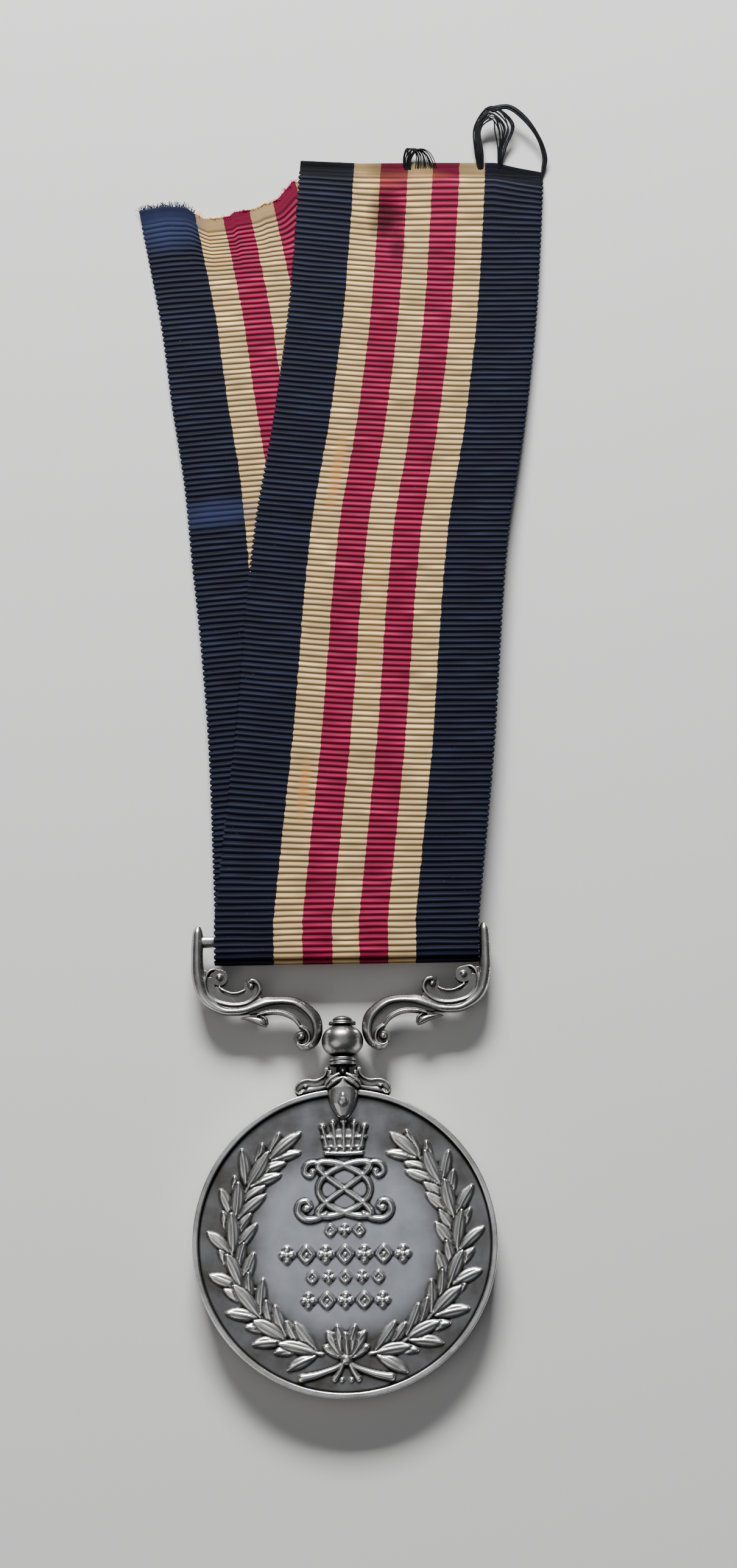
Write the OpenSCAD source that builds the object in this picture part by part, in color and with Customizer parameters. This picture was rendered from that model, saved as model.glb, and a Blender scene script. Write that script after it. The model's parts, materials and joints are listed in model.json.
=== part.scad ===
// Circular medal on a swivelling scroll suspender, with a striped ribbon folded over the bar.
// The struck face is up (+Z), the ribbon runs along +Y, and the origin is the disc's back, at its centre.

/* [Disc] */
// Diameter of the disc
disc_d = 36; // [30:0.5:44]
// Thickness over the rim
disc_t = 3; // [2.4:0.1:4]
// Width of the raised rim
rim_w = 0.75; // [0.5:0.05:1.2]
// Depth of the sunk field below the rim, on each face
field_depth = 0.5; // [0.35:0.05:0.8]
// Height of the struck ornament above the field
relief_h = 0.4; // [0.2:0.05:0.6]

/* [Claw] */
// Half-width of the toe that grips the face
toe_hw = 1.9; // [1.4:0.05:2.4]
// How far the toe reaches in from the disc's edge
toe_reach = 3.6; // [2.8:0.1:4.5]
// Thickness of each toe above the rim
toe_t = 0.7; // [0.5:0.05:1]
// Half-span of the claw's wings along the rim
wing_span = 6; // [4.5:0.1:7.5]
// Radius of the rivet through the claw and the disc
pin_r = 0.5; // [0.35:0.05:0.7]

/* [Swivel] */
// Radius of the swivel post
post_r = 0.8; // [0.6:0.05:1.1]
// Height of the claw's neck above the disc's edge
neck_h = 2.95; // [2.2:0.05:4]
// Radius of the ball at its waist
ball_r = 2.52; // [2.1:0.05:3]
// Height of the ball along the post
ball_h = 3.8; // [3:0.1:4.6]
// Radius and height of each collar ring
ring_r = 1.6; // [1.3:0.05:2]
ring_h = 0.5; // [0.35:0.05:0.8]
// Height of the domed cap
cap_h = 1.1; // [0.8:0.05:1.6]
// Running clearance of the post in the ball
swivel_fit = 0.05; // [0.02:0.01:0.1]

/* [Suspender] */
// Half of the suspender's outer width
arm_half = 18.25; // [16:0.25:21]
// Width of the uprights
upright_w = 1.4; // [1:0.1:2]
// Thickness of the scroll arms
arm_t = 2.2; // [1.6:0.1:3]
// Height of the ribbon bar above the ball's centre
bar_rise = 12.35; // [11.5:0.05:15]
// Radius of the ribbon bar
bar_r = 0.72; // [0.5:0.02:0.9]
// Depth of the bar's seat in each upright
bar_seat = 0.9; // [0.5:0.1:1.2]

/* [Ribbon] */
// Width of the ribbon
ribbon_w = 32; // [26:0.5:33.5]
// Thickness of the ribbon
ribbon_t = 0.4; // [0.3:0.05:0.5]
// Side gap between the ribbon's right edge and the upright
ribbon_gap = 0.15; // [0.1:0.05:0.5]
// Gap between the ribbon's loop and the bar
loop_gap = 0.23; // [0.15:0.02:0.5]
// How far the loose loop hangs below the bar's centre
loop_drop = 3; // [2.6:0.05:3.6]
// Length of the front leg from the crease
front_len = 100.7; // [70:0.1:120]
// Length of the back leg from the crease
back_len = 97.1; // [70:0.1:120]
// Sideways drift of the front leg's end
front_drift = 11.2; // [-4:0.2:14]
// Sideways drift of the back leg's end
back_drift = -10; // [-14:0.2:4]
// Diameter of the frayed thread bundles
thread_d = 0.5; // [0.3:0.05:0.8]

/* [Hidden] */
$fn = 48;
silver = "#b9bcc2";
navy = "#0d1534";
black = "#15161c";
disc_r = disc_d / 2;
mid_z = disc_t / 2;
field_z = disc_t - field_depth;
back_relief_h = relief_h * 0.8;
inner_r = disc_r - rim_w;
edge_round = 0.2;
rim_lip = 0.15;
end_play = 0.08;
post_inset = 0.6;
relief_root = 0.05;
// Heights along the swivel axis
neck_y = disc_r + neck_h;
lower_y = neck_y;
upper_y = lower_y + ring_h;
ball_y0 = upper_y + ring_h + end_play;
ball_cy = ball_y0 + ball_h / 2;
ball_y1 = ball_y0 + ball_h;
cap_y = ball_y1 + end_play;
post_y0 = disc_r + post_inset;
post_y1 = cap_y + cap_h * 0.7;
// The ribbon bar, the ribbon's loop round it, and the crease where the front leg lifts
bar_y = ball_cy + bar_rise;
upright_x = arm_half - upright_w / 2;
inner_x = arm_half - upright_w;
bar_len = 2 * (inner_x + bar_seat);
upright_over = 1.85;
ribbon_x = inner_x - ribbon_gap - ribbon_w / 2;
loop_r = bar_r + loop_gap + ribbon_t / 2;
loop_cy = loop_r + ribbon_t / 2 - loop_drop;
crease_y = 2.2;
crease_fit = 0.05;
front_fall = 1.63;
back_fall = 0.65;

// ---- curves ----

// Point between b and c on a smooth curve through a, b, c and d
function spline(a, b, c, d, t) =
  0.5 * (2 * b + (c - a) * t + (2 * a - 5 * b + 4 * c - d) * t * t + (3 * b - a - 3 * c + d) * t * t * t);

// A smooth path through the points of p, with n steps between each pair
function smooth(p, n) = [
  for (i = [0 : len(p) - 2])
    for (k = [0 : n - 1 + (i == len(p) - 2 ? 1 : 0)])
      spline(p[max(i - 1, 0)], p[i], p[i + 1], p[min(i + 2, len(p) - 1)], k / n)
];

function flat(v) = [v[0], v[1]];
function along(p, i) = flat(p[min(i + 1, len(p) - 1)] - p[max(i - 1, 0)]);
function across(p, i) = let (d = along(p, i)) [-d[1], d[0]] / norm(d);

// Outline of a band whose path points are [x, y, half-width]
function band_outline(p) = concat(
  [for (i = [0 : len(p) - 1]) flat(p[i]) + across(p, i) * p[i][2]],
  [for (i = [len(p) - 1 : -1 : 0]) flat(p[i]) - across(p, i) * p[i][2]]
);

module band(path, n = 4) {
  polygon(band_outline(smooth(path, n)));
}

// A leaf with two curved edges, from base to tip
module leaf(base, tip, width) {
  d = tip - base;
  length = norm(d);
  r = (length * length / 4 + width * width / 4) / width;
  translate(base)
    rotate(atan2(d[1], d[0]))
      intersection() {
        translate([length / 2, r - width / 2]) circle(r);
        translate([length / 2, width / 2 - r]) circle(r);
      }
}

function polar(r, a) = [r * cos(a), r * sin(a)];

module mirrored() {
  children();
  mirror([1, 0, 0]) children();
}

// A round part on the swivel axis: the outline gives [radius, height] pairs
module on_axis(y) {
  translate([0, y, mid_z]) rotate([-90, 0, 0]) rotate_extrude() children();
}

module post_hole(y, length, clearance = 0) {
  translate([0, y, mid_z]) rotate([-90, 0, 0]) cylinder(r = post_r + clearance, h = length);
}

// ---- disc ----

// The blank: a turned disc with a raised rim and a sunk field on both faces
module blank() {
  back = field_depth;
  rotate_extrude()
    polygon([
      [0, back], [inner_r - rim_lip, back], [inner_r, rim_lip], [inner_r + rim_lip, 0],
      [disc_r - edge_round, 0], [disc_r, edge_round], [disc_r, disc_t - edge_round],
      [disc_r - edge_round, disc_t], [inner_r + rim_lip, disc_t], [inner_r, disc_t - rim_lip],
      [inner_r - rim_lip, field_z], [0, field_z]
    ]);
}

module relief(h = relief_h) {
  translate([0, 0, field_z - relief_root]) linear_extrude(h + relief_root) children();
}

// One branch of the wreath: at each step a leaf to either side of the stem line, and berries between
wreath_r = disc_r * 0.7;
leaf_l = 3.3;
leaf_w = 1.2;
leaf_splay = 32;
leaf_gap = 0.45;
wreath_steps = 11;
wreath_start = 253;
wreath_pitch = 11.4;
module branch() {
  for (i = [0 : wreath_steps - 1]) {
    a = wreath_start - i * wreath_pitch;
    for (side = [-1, 1]) {
      base = polar(wreath_r + side * leaf_gap, a);
      leaf(base, base + polar(leaf_l, a - 90 + side * leaf_splay), leaf_w);
    }
    if (i % 2 == 1) translate(polar(wreath_r, a - wreath_pitch / 2)) circle(0.33);
  }
  end_a = wreath_start - wreath_steps * wreath_pitch;
  leaf(polar(wreath_r, end_a), polar(wreath_r, end_a) + polar(leaf_l, end_a - 90), leaf_w);
}

// The bow that ties the branches
bow_y = disc_r * -0.75;
module bow() {
  translate([0, bow_y]) circle(0.8);
  mirrored() {
    translate([1.25, bow_y + 1.75]) difference() {
      circle(1.4);
      circle(0.75);
    }
    band([[0.3, bow_y - 0.2, 0.3], [1.8, bow_y - 1.1, 0.35], [3.7, bow_y - 1.9, 0.4], [5.5, bow_y - 2.1, 0.3]]);
  }
}

// An open coronet: a band with five pearled rays
coronet_y = disc_r * 0.58;
module coronet() {
  translate([-2.15, coronet_y]) square([4.3, 0.65]);
  for (k = [-2 : 2]) {
    top = [k * 1.15, coronet_y + 3.1 - 0.15 * k * k];
    polygon([[k * 0.95 - 0.4, coronet_y + 0.5], [k * 0.95 + 0.4, coronet_y + 0.5], top]);
    translate(top) circle(0.42);
  }
}

// A knot of interlaced rings
knot_y = disc_r * 0.34;
knot_r = 2.6;
knot_w = 0.55;
knot_pitch = 2.7;
module knot() {
  for (k = [-1 : 1])
    translate([k * knot_pitch, knot_y]) difference() {
      circle(knot_r);
      circle(knot_r - knot_w);
    }
}

// Rows of lozenges: [height above centre, number, pitch, half-height]
module lozenge_rows() {
  rows = [[1.4, 3, 1.75, 0.7], [-1.45, 7, 2.25, 1.05], [-4.05, 5, 1.85, 0.7], [-6.75, 5, 2.1, 1]];
  for (row = rows)
    for (k = [0 : row[1] - 1])
      translate([(k - (row[1] - 1) / 2) * row[2], row[0]])
        polygon([[0, row[3]], [row[2] * 0.4, 0], [0, -row[3]], [-row[2] * 0.4, 0]]);
}

module pin_hole() {
  translate([0, pin_y, -5]) cylinder(r = pin_r, h = disc_t + 10);
}

module medal_disc() {
  color(silver)
    difference() {
      union() {
        blank();
        relief() branch();
        relief() mirror([1, 0, 0]) branch();
        relief() bow();
        relief() coronet();
        relief() knot();
        relief() lozenge_rows();
        back_rosette();
      }
      pin_hole();
    }
}

// The other face: a plain rosette in a ring
module back_rosette() {
  mirror([0, 0, 1]) translate([0, 0, -field_depth - relief_root]) linear_extrude(back_relief_h + relief_root) {
    for (a = [0 : 45 : 315]) leaf(polar(2, a), polar(8.5, a), 2.6);
    circle(1.5);
    difference() {
      circle(disc_r * 0.6);
      circle(disc_r * 0.58);
    }
  }
}

// ---- claw ----

pin_y = disc_r - toe_reach * 0.33;

module toe_outline() {
  tip_y = disc_r - toe_reach;
  intersection() {
    translate([toe_hw * 1.6, tip_y + toe_reach * 0.8]) circle(toe_hw * 2.6);
    translate([-toe_hw * 1.6, tip_y + toe_reach * 0.8]) circle(toe_hw * 2.6);
    translate([-toe_hw, tip_y]) square([2 * toe_hw, toe_reach + 1.3]);
  }
}

// The wings are scrolls that lie along the rim and end in a boss
wing_t = disc_t * 0.82;
wing_boss_r = 0.95;
horn_x = 1.25;
horn_r = 0.75;
horn_rise = 2;
foot_rise = 0.3;
module wing_outline() {
  y = disc_r;
  mirrored() {
    band([[0, y + 1, 1], [wing_span * 0.4, y + 0.85, 0.75], [wing_span * 0.75, y + 0.65, 0.75],
      [wing_span * 0.95, y + 0.1, 0.6], [wing_span, y - 0.7, 0.35]]);
    translate([wing_span * 0.78, y + 0.45]) circle(wing_boss_r);
  }
}

module claw() {
  color(silver)
    difference() {
      union() {
        translate([0, 0, -toe_t]) linear_extrude(disc_t + 2 * toe_t) toe_outline();
        translate([0, 0, mid_z - wing_t / 2]) linear_extrude(wing_t) wing_outline();
        translate([0, 0, mid_z]) linear_extrude(wing_t + 0.3, center = true) mirrored()
          translate([horn_x, disc_r + horn_rise]) circle(horn_r);
        on_axis(disc_r + foot_rise)
          polygon([[0, 0], [1.9, 0], [1.5, 1.3], [1, 1.9], [1.15, neck_h - foot_rise], [0, neck_h - foot_rise]]);
      }
      blank();
      pin_hole();
      post_hole(post_y0, neck_h);
    }
}

module claw_pin() {
  color(silver)
    translate([0, pin_y, 0]) {
      translate([0, 0, -toe_t]) cylinder(r = pin_r, h = disc_t + 2 * toe_t);
      translate([0, 0, disc_t + toe_t]) rivet_head();
      translate([0, 0, -toe_t]) mirror([0, 0, 1]) rivet_head();
    }
}

// A low dome: the top of a ball whose centre lies below the face
rivet_ball_r = 0.95;
rivet_sunk = 0.45;
module rivet_head() {
  rotate_extrude()
    intersection() {
      translate([0, -rivet_sunk]) circle(rivet_ball_r);
      square(2 * rivet_ball_r);
    }
}

// ---- swivel ----

module swivel_post() {
  color(silver) post_hole(post_y0, post_y1 - post_y0);
}

module ring(y) {
  difference() {
    on_axis(y)
      intersection() {
        union() {
          square([ring_r - ring_h / 2, ring_h]);
          translate([ring_r - ring_h / 2, ring_h / 2]) circle(ring_h / 2);
        }
        square([2 * ring_r, ring_h]);
      }
    post_hole(y - 1, ring_h + 2);
  }
}

module lower_ring() {
  color(silver) ring(lower_y);
}

module upper_ring() {
  color(silver) ring(upper_y);
}

module ball_shape() {
  on_axis(ball_cy)
    intersection() {
      circle(ball_r, $fn = 96);
      translate([0, -ball_h / 2]) square([ball_r + 1, ball_h]);
    }
}

module swivel_ball() {
  color(silver)
    difference() {
      ball_shape();
      post_hole(ball_y0 - 1, ball_h + 2, swivel_fit);
    }
}

module post_cap() {
  flange = cap_h * 0.35;
  dome_sunk = 0.35;
  color(silver)
    difference() {
      on_axis(cap_y) {
        square([ring_r, flange]);
        intersection() {
          translate([0, flange - dome_sunk]) circle(cap_h);
          square([ring_r, cap_h]);
        }
      }
      post_hole(cap_y - 1, post_y1 - cap_y + 1);
    }
}

// ---- suspender ----

// The arm's main scroll: down the upright, round the corner, over the shoulder, and curled by the ball.
// Its points are measured from the ball's centre.
corner_x = upright_x - 0.2;
drawn_upright_x = 17.55;
arm_path = [
  [upright_x, bar_rise + upright_over, upright_w / 2], [upright_x, bar_rise - 1.5, upright_w / 2],
  [upright_x, 8.6, upright_w / 2], [corner_x - 0.15, 7, 0.74], [corner_x - 0.63, 5.75, 0.66],
  [corner_x - 1.5, 4.7, 0.6], [corner_x - 2.95, 3.9, 0.52], [corner_x - 4.3, 3.75, 0.45],
  [corner_x - 5.6, 3.88, 0.5], [corner_x - 7, 4.3, 0.65], [9.1, 4.5, 1], [8, 4.55, 1], [6.9, 4.45, 1.05],
  [5.7, 4, 1.15], [4.6, 3.05, 1.25], [3.9, 1.9, 1.3], [3.75, 0.8, 1.2], [3.9, -0.1, 0.95],
  [4.5, -0.7, 0.5], [5.2, -0.6, 0.3]
];

// The C-scroll that fills the corner, with a boss in each curl
curl_a = [14.73, 7.86];
curl_b = [11, 6.75];
curl_a_r = 1;
curl_b_r = 0.85;
corner_path = [
  [15.9, 8.1, 0.55], [15.95, 7.2, 0.75], [15.5, 6.3, 0.85], [14.75, 5.55, 0.85], [13.75, 5.15, 0.85],
  [12.7, 5.1, 0.85], [11.65, 5.3, 0.85], [10.8, 5.85, 0.75], [10.35, 6.6, 0.6], [10.6, 7.2, 0.4]
];
barb = [
  [12.25, 2.95], [11.4, 2.62], [10.3, 2.2], [9.15, 1.83], [8.95, 2.2], [9.3, 2.95], [9.8, 3.7], [11.2, 3.6]
];
ball_boss = [4.9, 0.5];
ball_curl_r = 1;
boss_r = 0.5;

// Corner pieces move with the upright when the suspender's width changes
corner_shift = upright_x - drawn_upright_x;

module scroll_arm() {
  difference() {
    translate([0, ball_cy, mid_z]) {
      linear_extrude(arm_t, center = true) {
        band(arm_path);
        translate(ball_boss) circle(ball_curl_r);
      }
      translate([corner_shift, 0, 0]) {
        linear_extrude(arm_t * 0.8, center = true) {
          band(corner_path);
          translate(curl_a) circle(curl_a_r);
          translate(curl_b) circle(curl_b_r);
          polygon(barb);
        }
        for (c = [curl_a, curl_b])
          translate(c) cylinder(r = boss_r, h = arm_t, center = true);
      }
      translate(ball_boss) cylinder(r = boss_r, h = arm_t + 0.4, center = true);
    }
    ball_shape();
    bar_shape();
  }
}

module left_scroll() {
  color(silver) mirror([1, 0, 0]) scroll_arm();
}

module right_scroll() {
  color(silver) scroll_arm();
}

module bar_shape() {
  translate([-bar_len / 2, bar_y, mid_z]) rotate([0, 90, 0]) cylinder(r = bar_r, h = bar_len);
}

module ribbon_bar() {
  color(silver) bar_shape();
}

// ---- ribbon ----

// Puts a [y, z] outline round the bar's centre and gives it the ribbon's width
module across_bar() {
  translate([ribbon_x - ribbon_w / 2, bar_y, mid_z])
    rotate([90, 0, 90]) linear_extrude(ribbon_w) children();
}

module ribbon_fold() {
  half = ribbon_t / 2;
  color(navy)
    across_bar() {
      difference() {
        translate([loop_cy, 0]) circle(loop_r + half);
        translate([loop_cy, 0]) circle(loop_r - half);
        translate([loop_cy, -loop_r - 1]) square([loop_r + 2, 2 * loop_r + 2]);
      }
      translate([loop_cy, loop_r - half]) square([crease_y - half - crease_fit - loop_cy, ribbon_t]);
      translate([loop_cy, -loop_r - half]) square([crease_y - loop_cy, ribbon_t]);
    }
}

// The round edge about which the front leg lifts
module crease(r) {
  translate([ribbon_x - ribbon_w / 2 - 1, bar_y + crease_y, mid_z + loop_r])
    rotate([0, 90, 0]) cylinder(r = r, h = ribbon_w + 2);
}

// A leg of the ribbon in plan, from the crease: straight at first, then drifting sideways
function leg_path(length, drift, shape) = smooth(concat(
  [[0, 0]],
  [for (s = shape) [drift * s[1], length * s[0]]]
), 2);
function leg_edge(path, side) = [
  for (i = [0 : len(path) - 1])
    path[i] + side * ribbon_w / 2 * (i == len(path) - 1 ? -across(path, i) : [1, 0])
];
function leg_outline(path) =
  let (left = leg_edge(path, -1), right = leg_edge(path, 1))
  concat(right, [for (i = [len(left) - 1 : -1 : 0]) left[i]]);
front_shape = [[0.1, 0.1], [0.24, 0.24], [0.4, 0.36], [0.52, 0.48], [0.64, 0.67], [0.81, 0.87], [1, 1]];
back_shape = [[0.15, 0.05], [0.27, 0.1], [0.4, 0.2], [0.5, 0.3], [0.61, 0.4], [0.72, 0.56], [0.84, 0.71], [1, 1]];

module leg(z, fall, path) {
  translate([ribbon_x, bar_y + crease_y, z])
    rotate([-fall, 0, 0])
      linear_extrude(ribbon_t, center = true) polygon(leg_outline(path));
}

module ribbon_front() {
  color(navy) {
    leg(mid_z + loop_r, front_fall, leg_path(front_len, front_drift, front_shape));
    intersection() {
      crease(ribbon_t / 2);
      translate([ribbon_x - ribbon_w / 2, bar_y, 0]) cube([ribbon_w, 2 * crease_y, disc_t + loop_r]);
    }
  }
}

module ribbon_back() {
  color(navy)
    leg(mid_z - loop_r, back_fall, leg_path(back_len, back_drift, back_shape));
}

// ---- frayed ends ----

function fall_z(z, fall, y) = z - y * sin(fall);
front_end_y = bar_y + crease_y + front_len;
front_end_x = ribbon_x + front_drift;
front_end_z = fall_z(mid_z + loop_r, front_fall, front_len);

function tube_ring(p, i, r, sides) =
  let (d = p[min(i + 1, len(p) - 1)] - p[max(i - 1, 0)], t = d / norm(d))
  let (u = cross(t, [0, 0, 1]) / norm(cross(t, [0, 0, 1])), v = cross(u, t))
  [for (k = [0 : sides - 1]) p[i] + r * (cos(360 * k / sides) * u + sin(360 * k / sides) * v)];

module tube(p, r, sides = 8) {
  n = len(p);
  points = [for (i = [0 : n - 1]) each tube_ring(p, i, r, sides)];
  walls = [
    for (i = [0 : n - 2])
      for (k = [0 : sides - 1])
        let (j = (k + 1) % sides)
          [i * sides + k, i * sides + j, (i + 1) * sides + j, (i + 1) * sides + k]
  ];
  polyhedron(points, concat(walls, [
    [for (k = [sides - 1 : -1 : 0]) k],
    [for (k = [0 : sides - 1]) (n - 1) * sides + k]
  ]));
}

// Loops of pulled threads, measured from the middle of the front leg's cut end
large_loop = [[7.5, -0.4, 0.2], [6.9, 1.8, 0.5], [6.6, 4.2, 0.9], [7.6, 7.4, 1.3], [9.5, 9.4, 1.6], [12, 9.3, 1.6],
  [14.6, 6.9, 1.2], [16.2, 3.3, 0.8], [15.8, -0.6, 0.25]];
small_loop = [[-2.1, -0.3, 0.2], [-1.8, 1.8, 0.5], [-0.5, 3.3, 0.7], [1.4, 2.6, 0.5], [2.6, -0.3, 0.2]];

module thread_loop(p) {
  color(black)
    translate([front_end_x, front_end_y, front_end_z + ribbon_t / 2 + 0.1])
      tube(smooth(p, 3), thread_d / 2);
}

module thread_loop_large() {
  thread_loop(large_loop);
}

module thread_loop_small() {
  thread_loop(small_loop);
}

// A comb of short threads along the back leg's cut end
fringe_l = 1.3;
fringe_teeth = 26;
module back_fringe() {
  path = leg_path(back_len, back_drift, back_shape);
  last = len(path) - 1;
  end = flat(path[last]);
  side = across(path, last);
  out = [side[1], -side[0]];
  pitch = ribbon_w / fringe_teeth;
  comb = [
    for (k = [0 : fringe_teeth - 1])
      each [[k * pitch, fringe_l * (k % 3 == 0 ? 1 : 0.6)], [(k + 0.55) * pitch, 0.25]]
  ];
  color(black)
    translate([ribbon_x, bar_y + crease_y, mid_z - loop_r])
      rotate([-back_fall, 0, 0])
        linear_extrude(ribbon_t * 0.6, center = true)
          polygon([
            for (q = concat([[0, 0]], comb, [[ribbon_w, fringe_l], [ribbon_w, 0]]))
              end + side * (ribbon_w / 2 - q[0]) + out * q[1]
          ]);
}

medal_disc();
claw();
claw_pin();
swivel_post();
lower_ring();
upper_ring();
swivel_ball();
post_cap();
left_scroll();
right_scroll();
ribbon_bar();
ribbon_fold();
ribbon_back();
ribbon_front();
thread_loop_large();
thread_loop_small();
back_fringe();
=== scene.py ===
# The looks of a struck silver medal on a scroll suspender, with its ribbed silk ribbon.
# Shapes are worked out in millimetres in the part's own frame, and become metres in make_mesh.
import json
import math

import bpy
import numpy as np
from mathutils import Matrix, Vector


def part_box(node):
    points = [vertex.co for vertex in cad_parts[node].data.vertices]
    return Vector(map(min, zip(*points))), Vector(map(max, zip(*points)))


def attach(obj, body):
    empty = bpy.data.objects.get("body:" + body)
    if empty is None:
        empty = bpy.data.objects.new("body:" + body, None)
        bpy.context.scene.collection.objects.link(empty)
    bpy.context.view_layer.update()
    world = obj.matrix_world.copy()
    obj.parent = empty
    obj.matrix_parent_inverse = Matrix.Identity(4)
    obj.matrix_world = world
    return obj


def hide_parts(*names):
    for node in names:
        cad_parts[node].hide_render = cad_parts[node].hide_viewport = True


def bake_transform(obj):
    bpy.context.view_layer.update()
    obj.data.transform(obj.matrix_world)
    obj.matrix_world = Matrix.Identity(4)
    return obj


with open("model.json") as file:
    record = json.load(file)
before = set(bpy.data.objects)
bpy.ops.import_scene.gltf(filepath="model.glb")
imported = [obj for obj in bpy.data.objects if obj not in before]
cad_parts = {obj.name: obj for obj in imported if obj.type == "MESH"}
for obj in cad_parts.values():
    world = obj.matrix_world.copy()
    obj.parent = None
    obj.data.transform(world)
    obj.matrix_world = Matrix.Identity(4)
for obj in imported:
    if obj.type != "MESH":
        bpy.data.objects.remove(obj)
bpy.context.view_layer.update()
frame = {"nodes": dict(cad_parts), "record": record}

MM = 0.001
TAU = 2 * math.pi


# ---- places, from the frame ----

def box_mm(node):
    low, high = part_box(node)
    return np.array(low) / MM, np.array(high) / MM


disc_low, disc_high = box_mm("medal_disc")
DISC_R = (disc_high[0] - disc_low[0]) / 2
DISC_T = disc_high[2] - disc_low[2]
MID_Z = DISC_T / 2
RIM_W = 0.75
FIELD_DEPTH = 0.5
FIELD_R = DISC_R - RIM_W
# Grid steps of the two faces
FRONT_STEP = 0.105
BACK_STEP = 0.13
ball_low, ball_high = box_mm("swivel_ball")
BALL_Y = (ball_low[1] + ball_high[1]) / 2
BALL_R = (ball_high[0] - ball_low[0]) / 2
bar_low, bar_high = box_mm("ribbon_bar")
BAR_Y = (bar_low[1] + bar_high[1]) / 2
BAR_R = (bar_high[1] - bar_low[1]) / 2
fold_low, fold_high = box_mm("ribbon_fold")
CLOTH_T = 0.4
POST_R = 0.8
BALL_BORE_R = 0.85
RIBBON_X = (fold_low[0] + fold_high[0]) / 2
RIBBON_HW = (fold_high[0] - fold_low[0]) / 2
LOOP_R = (fold_high[2] - fold_low[2] - CLOTH_T) / 2
LOOP_Y = fold_low[1] + LOOP_R + CLOTH_T / 2
joint_at = {j["name"]: j for j in frame["record"]["behaviour"]["joints"]}
CREASE_Y = joint_at["ribbon_open"]["pos_m"][1] / MM
FLOOR_Z = ball_low[2]


# ---- camera, light and floor ----

def look_from(place, target, up):
    """A matrix at place that looks at target, with up as the picture's upward direction."""
    back = (place - target).normalized()
    right = up.cross(back).normalized()
    turn = Matrix((right, back.cross(right), back)).transposed()
    return Matrix.Translation(place) @ turn.to_4x4()


def add_camera():
    tilt, roll, distance = math.radians(13.6), math.radians(0.9), 317 * MM
    target = Vector((3.63, 55.38, DISC_T)) * MM
    picture_up = Vector((math.sin(roll), math.cos(roll), 0))
    place = target + distance * (Vector((0, 0, math.cos(tilt))) - math.sin(tilt) * picture_up)
    data = bpy.data.cameras.new("camera")
    data.sensor_fit = "VERTICAL"
    data.sensor_height = 36
    data.lens = 59.3
    data.clip_start = 0.01
    camera = bpy.data.objects.new("camera", data)
    camera.matrix_world = look_from(place, target, picture_up)
    bpy.context.scene.collection.objects.link(camera)
    bpy.context.scene.camera = camera


def add_light(name, place_mm, target_mm, size_mm, watts, colour):
    data = bpy.data.lights.new(name, "AREA")
    data.shape = "RECTANGLE"
    data.size, data.size_y = size_mm[0] * MM, size_mm[1] * MM
    data.energy = watts
    data.color = colour
    light = bpy.data.objects.new(name, data)
    place, target = Vector(place_mm) * MM, Vector(target_mm) * MM
    light.matrix_world = look_from(place, target, Vector((0, 0, 1)))
    bpy.context.scene.collection.objects.link(light)


def node_of(tree, kind, **values):
    """A shader node with its sockets and settings given by name."""
    node = tree.nodes.new(kind)
    for key, value in values.items():
        if key in node.inputs:
            node.inputs[key].default_value = value
        else:
            setattr(node, key, value)
    return node


def set_stops(ramp, stops):
    """Gives a new colour ramp its stops; the first two take over the ones that it starts with."""
    for k, (where, colour) in enumerate(stops):
        stop = ramp.color_ramp.elements[k] if k < 2 else ramp.color_ramp.elements.new(where)
        stop.position, stop.color = where, colour


def add_world():
    """A dim studio room that is bright only overhead."""
    world = bpy.data.worlds.new("studio")
    world.use_nodes = True
    tree = world.node_tree
    tree.nodes.clear()
    place = node_of(tree, "ShaderNodeTexCoord")
    split = node_of(tree, "ShaderNodeSeparateXYZ")
    ramp = node_of(tree, "ShaderNodeValToRGB")
    set_stops(ramp, ((0.0, (0.045, 0.045, 0.05, 1)), (0.93, (0.80, 0.83, 0.88, 1)),
                     (0.80, (0.17, 0.175, 0.19, 1))))
    light = node_of(tree, "ShaderNodeBackground", Strength=0.46)
    out = node_of(tree, "ShaderNodeOutputWorld")
    tree.links.new(place.outputs["Generated"], split.inputs[0])
    tree.links.new(split.outputs["Z"], ramp.inputs[0])
    tree.links.new(ramp.outputs[0], light.inputs["Color"])
    tree.links.new(light.outputs[0], out.inputs["Surface"])
    bpy.context.scene.world = world


def add_floor():
    mesh = bpy.data.meshes.new("floor")
    half = 1.5
    z = FLOOR_Z * MM
    mesh.from_pydata([(-half, -half, z), (half, -half, z), (half, half, z), (-half, half, z)], [],
                     [(0, 1, 2, 3)])
    floor = bpy.data.objects.new("floor", mesh)
    bpy.context.scene.collection.objects.link(floor)
    material = bpy.data.materials.new("floor_paper")
    material.use_nodes = True
    shader = material.node_tree.nodes["Principled BSDF"]
    shader.inputs["Base Color"].default_value = (0.60, 0.588, 0.572, 1)
    shader.inputs["Roughness"].default_value = 0.85
    mesh.materials.append(material)


add_camera()
add_world()
add_light("window", (-50, 600, 330), (0, 40, 0), (300, 150), 12.6, (0.98, 0.985, 1.0))
add_light("fill", (-330, -200, 380), (0, 40, 0), (400, 400), 0.5, (1.0, 0.98, 0.95))
add_floor()


# ---- mesh helpers ----

def add_attribute(thing, name, values):
    """One number at each point, which the materials read by name."""
    layer = thing.data.attributes.new(name, "FLOAT", "POINT")
    layer.data.foreach_set("value", np.asarray(values, np.float32).ravel())


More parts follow.
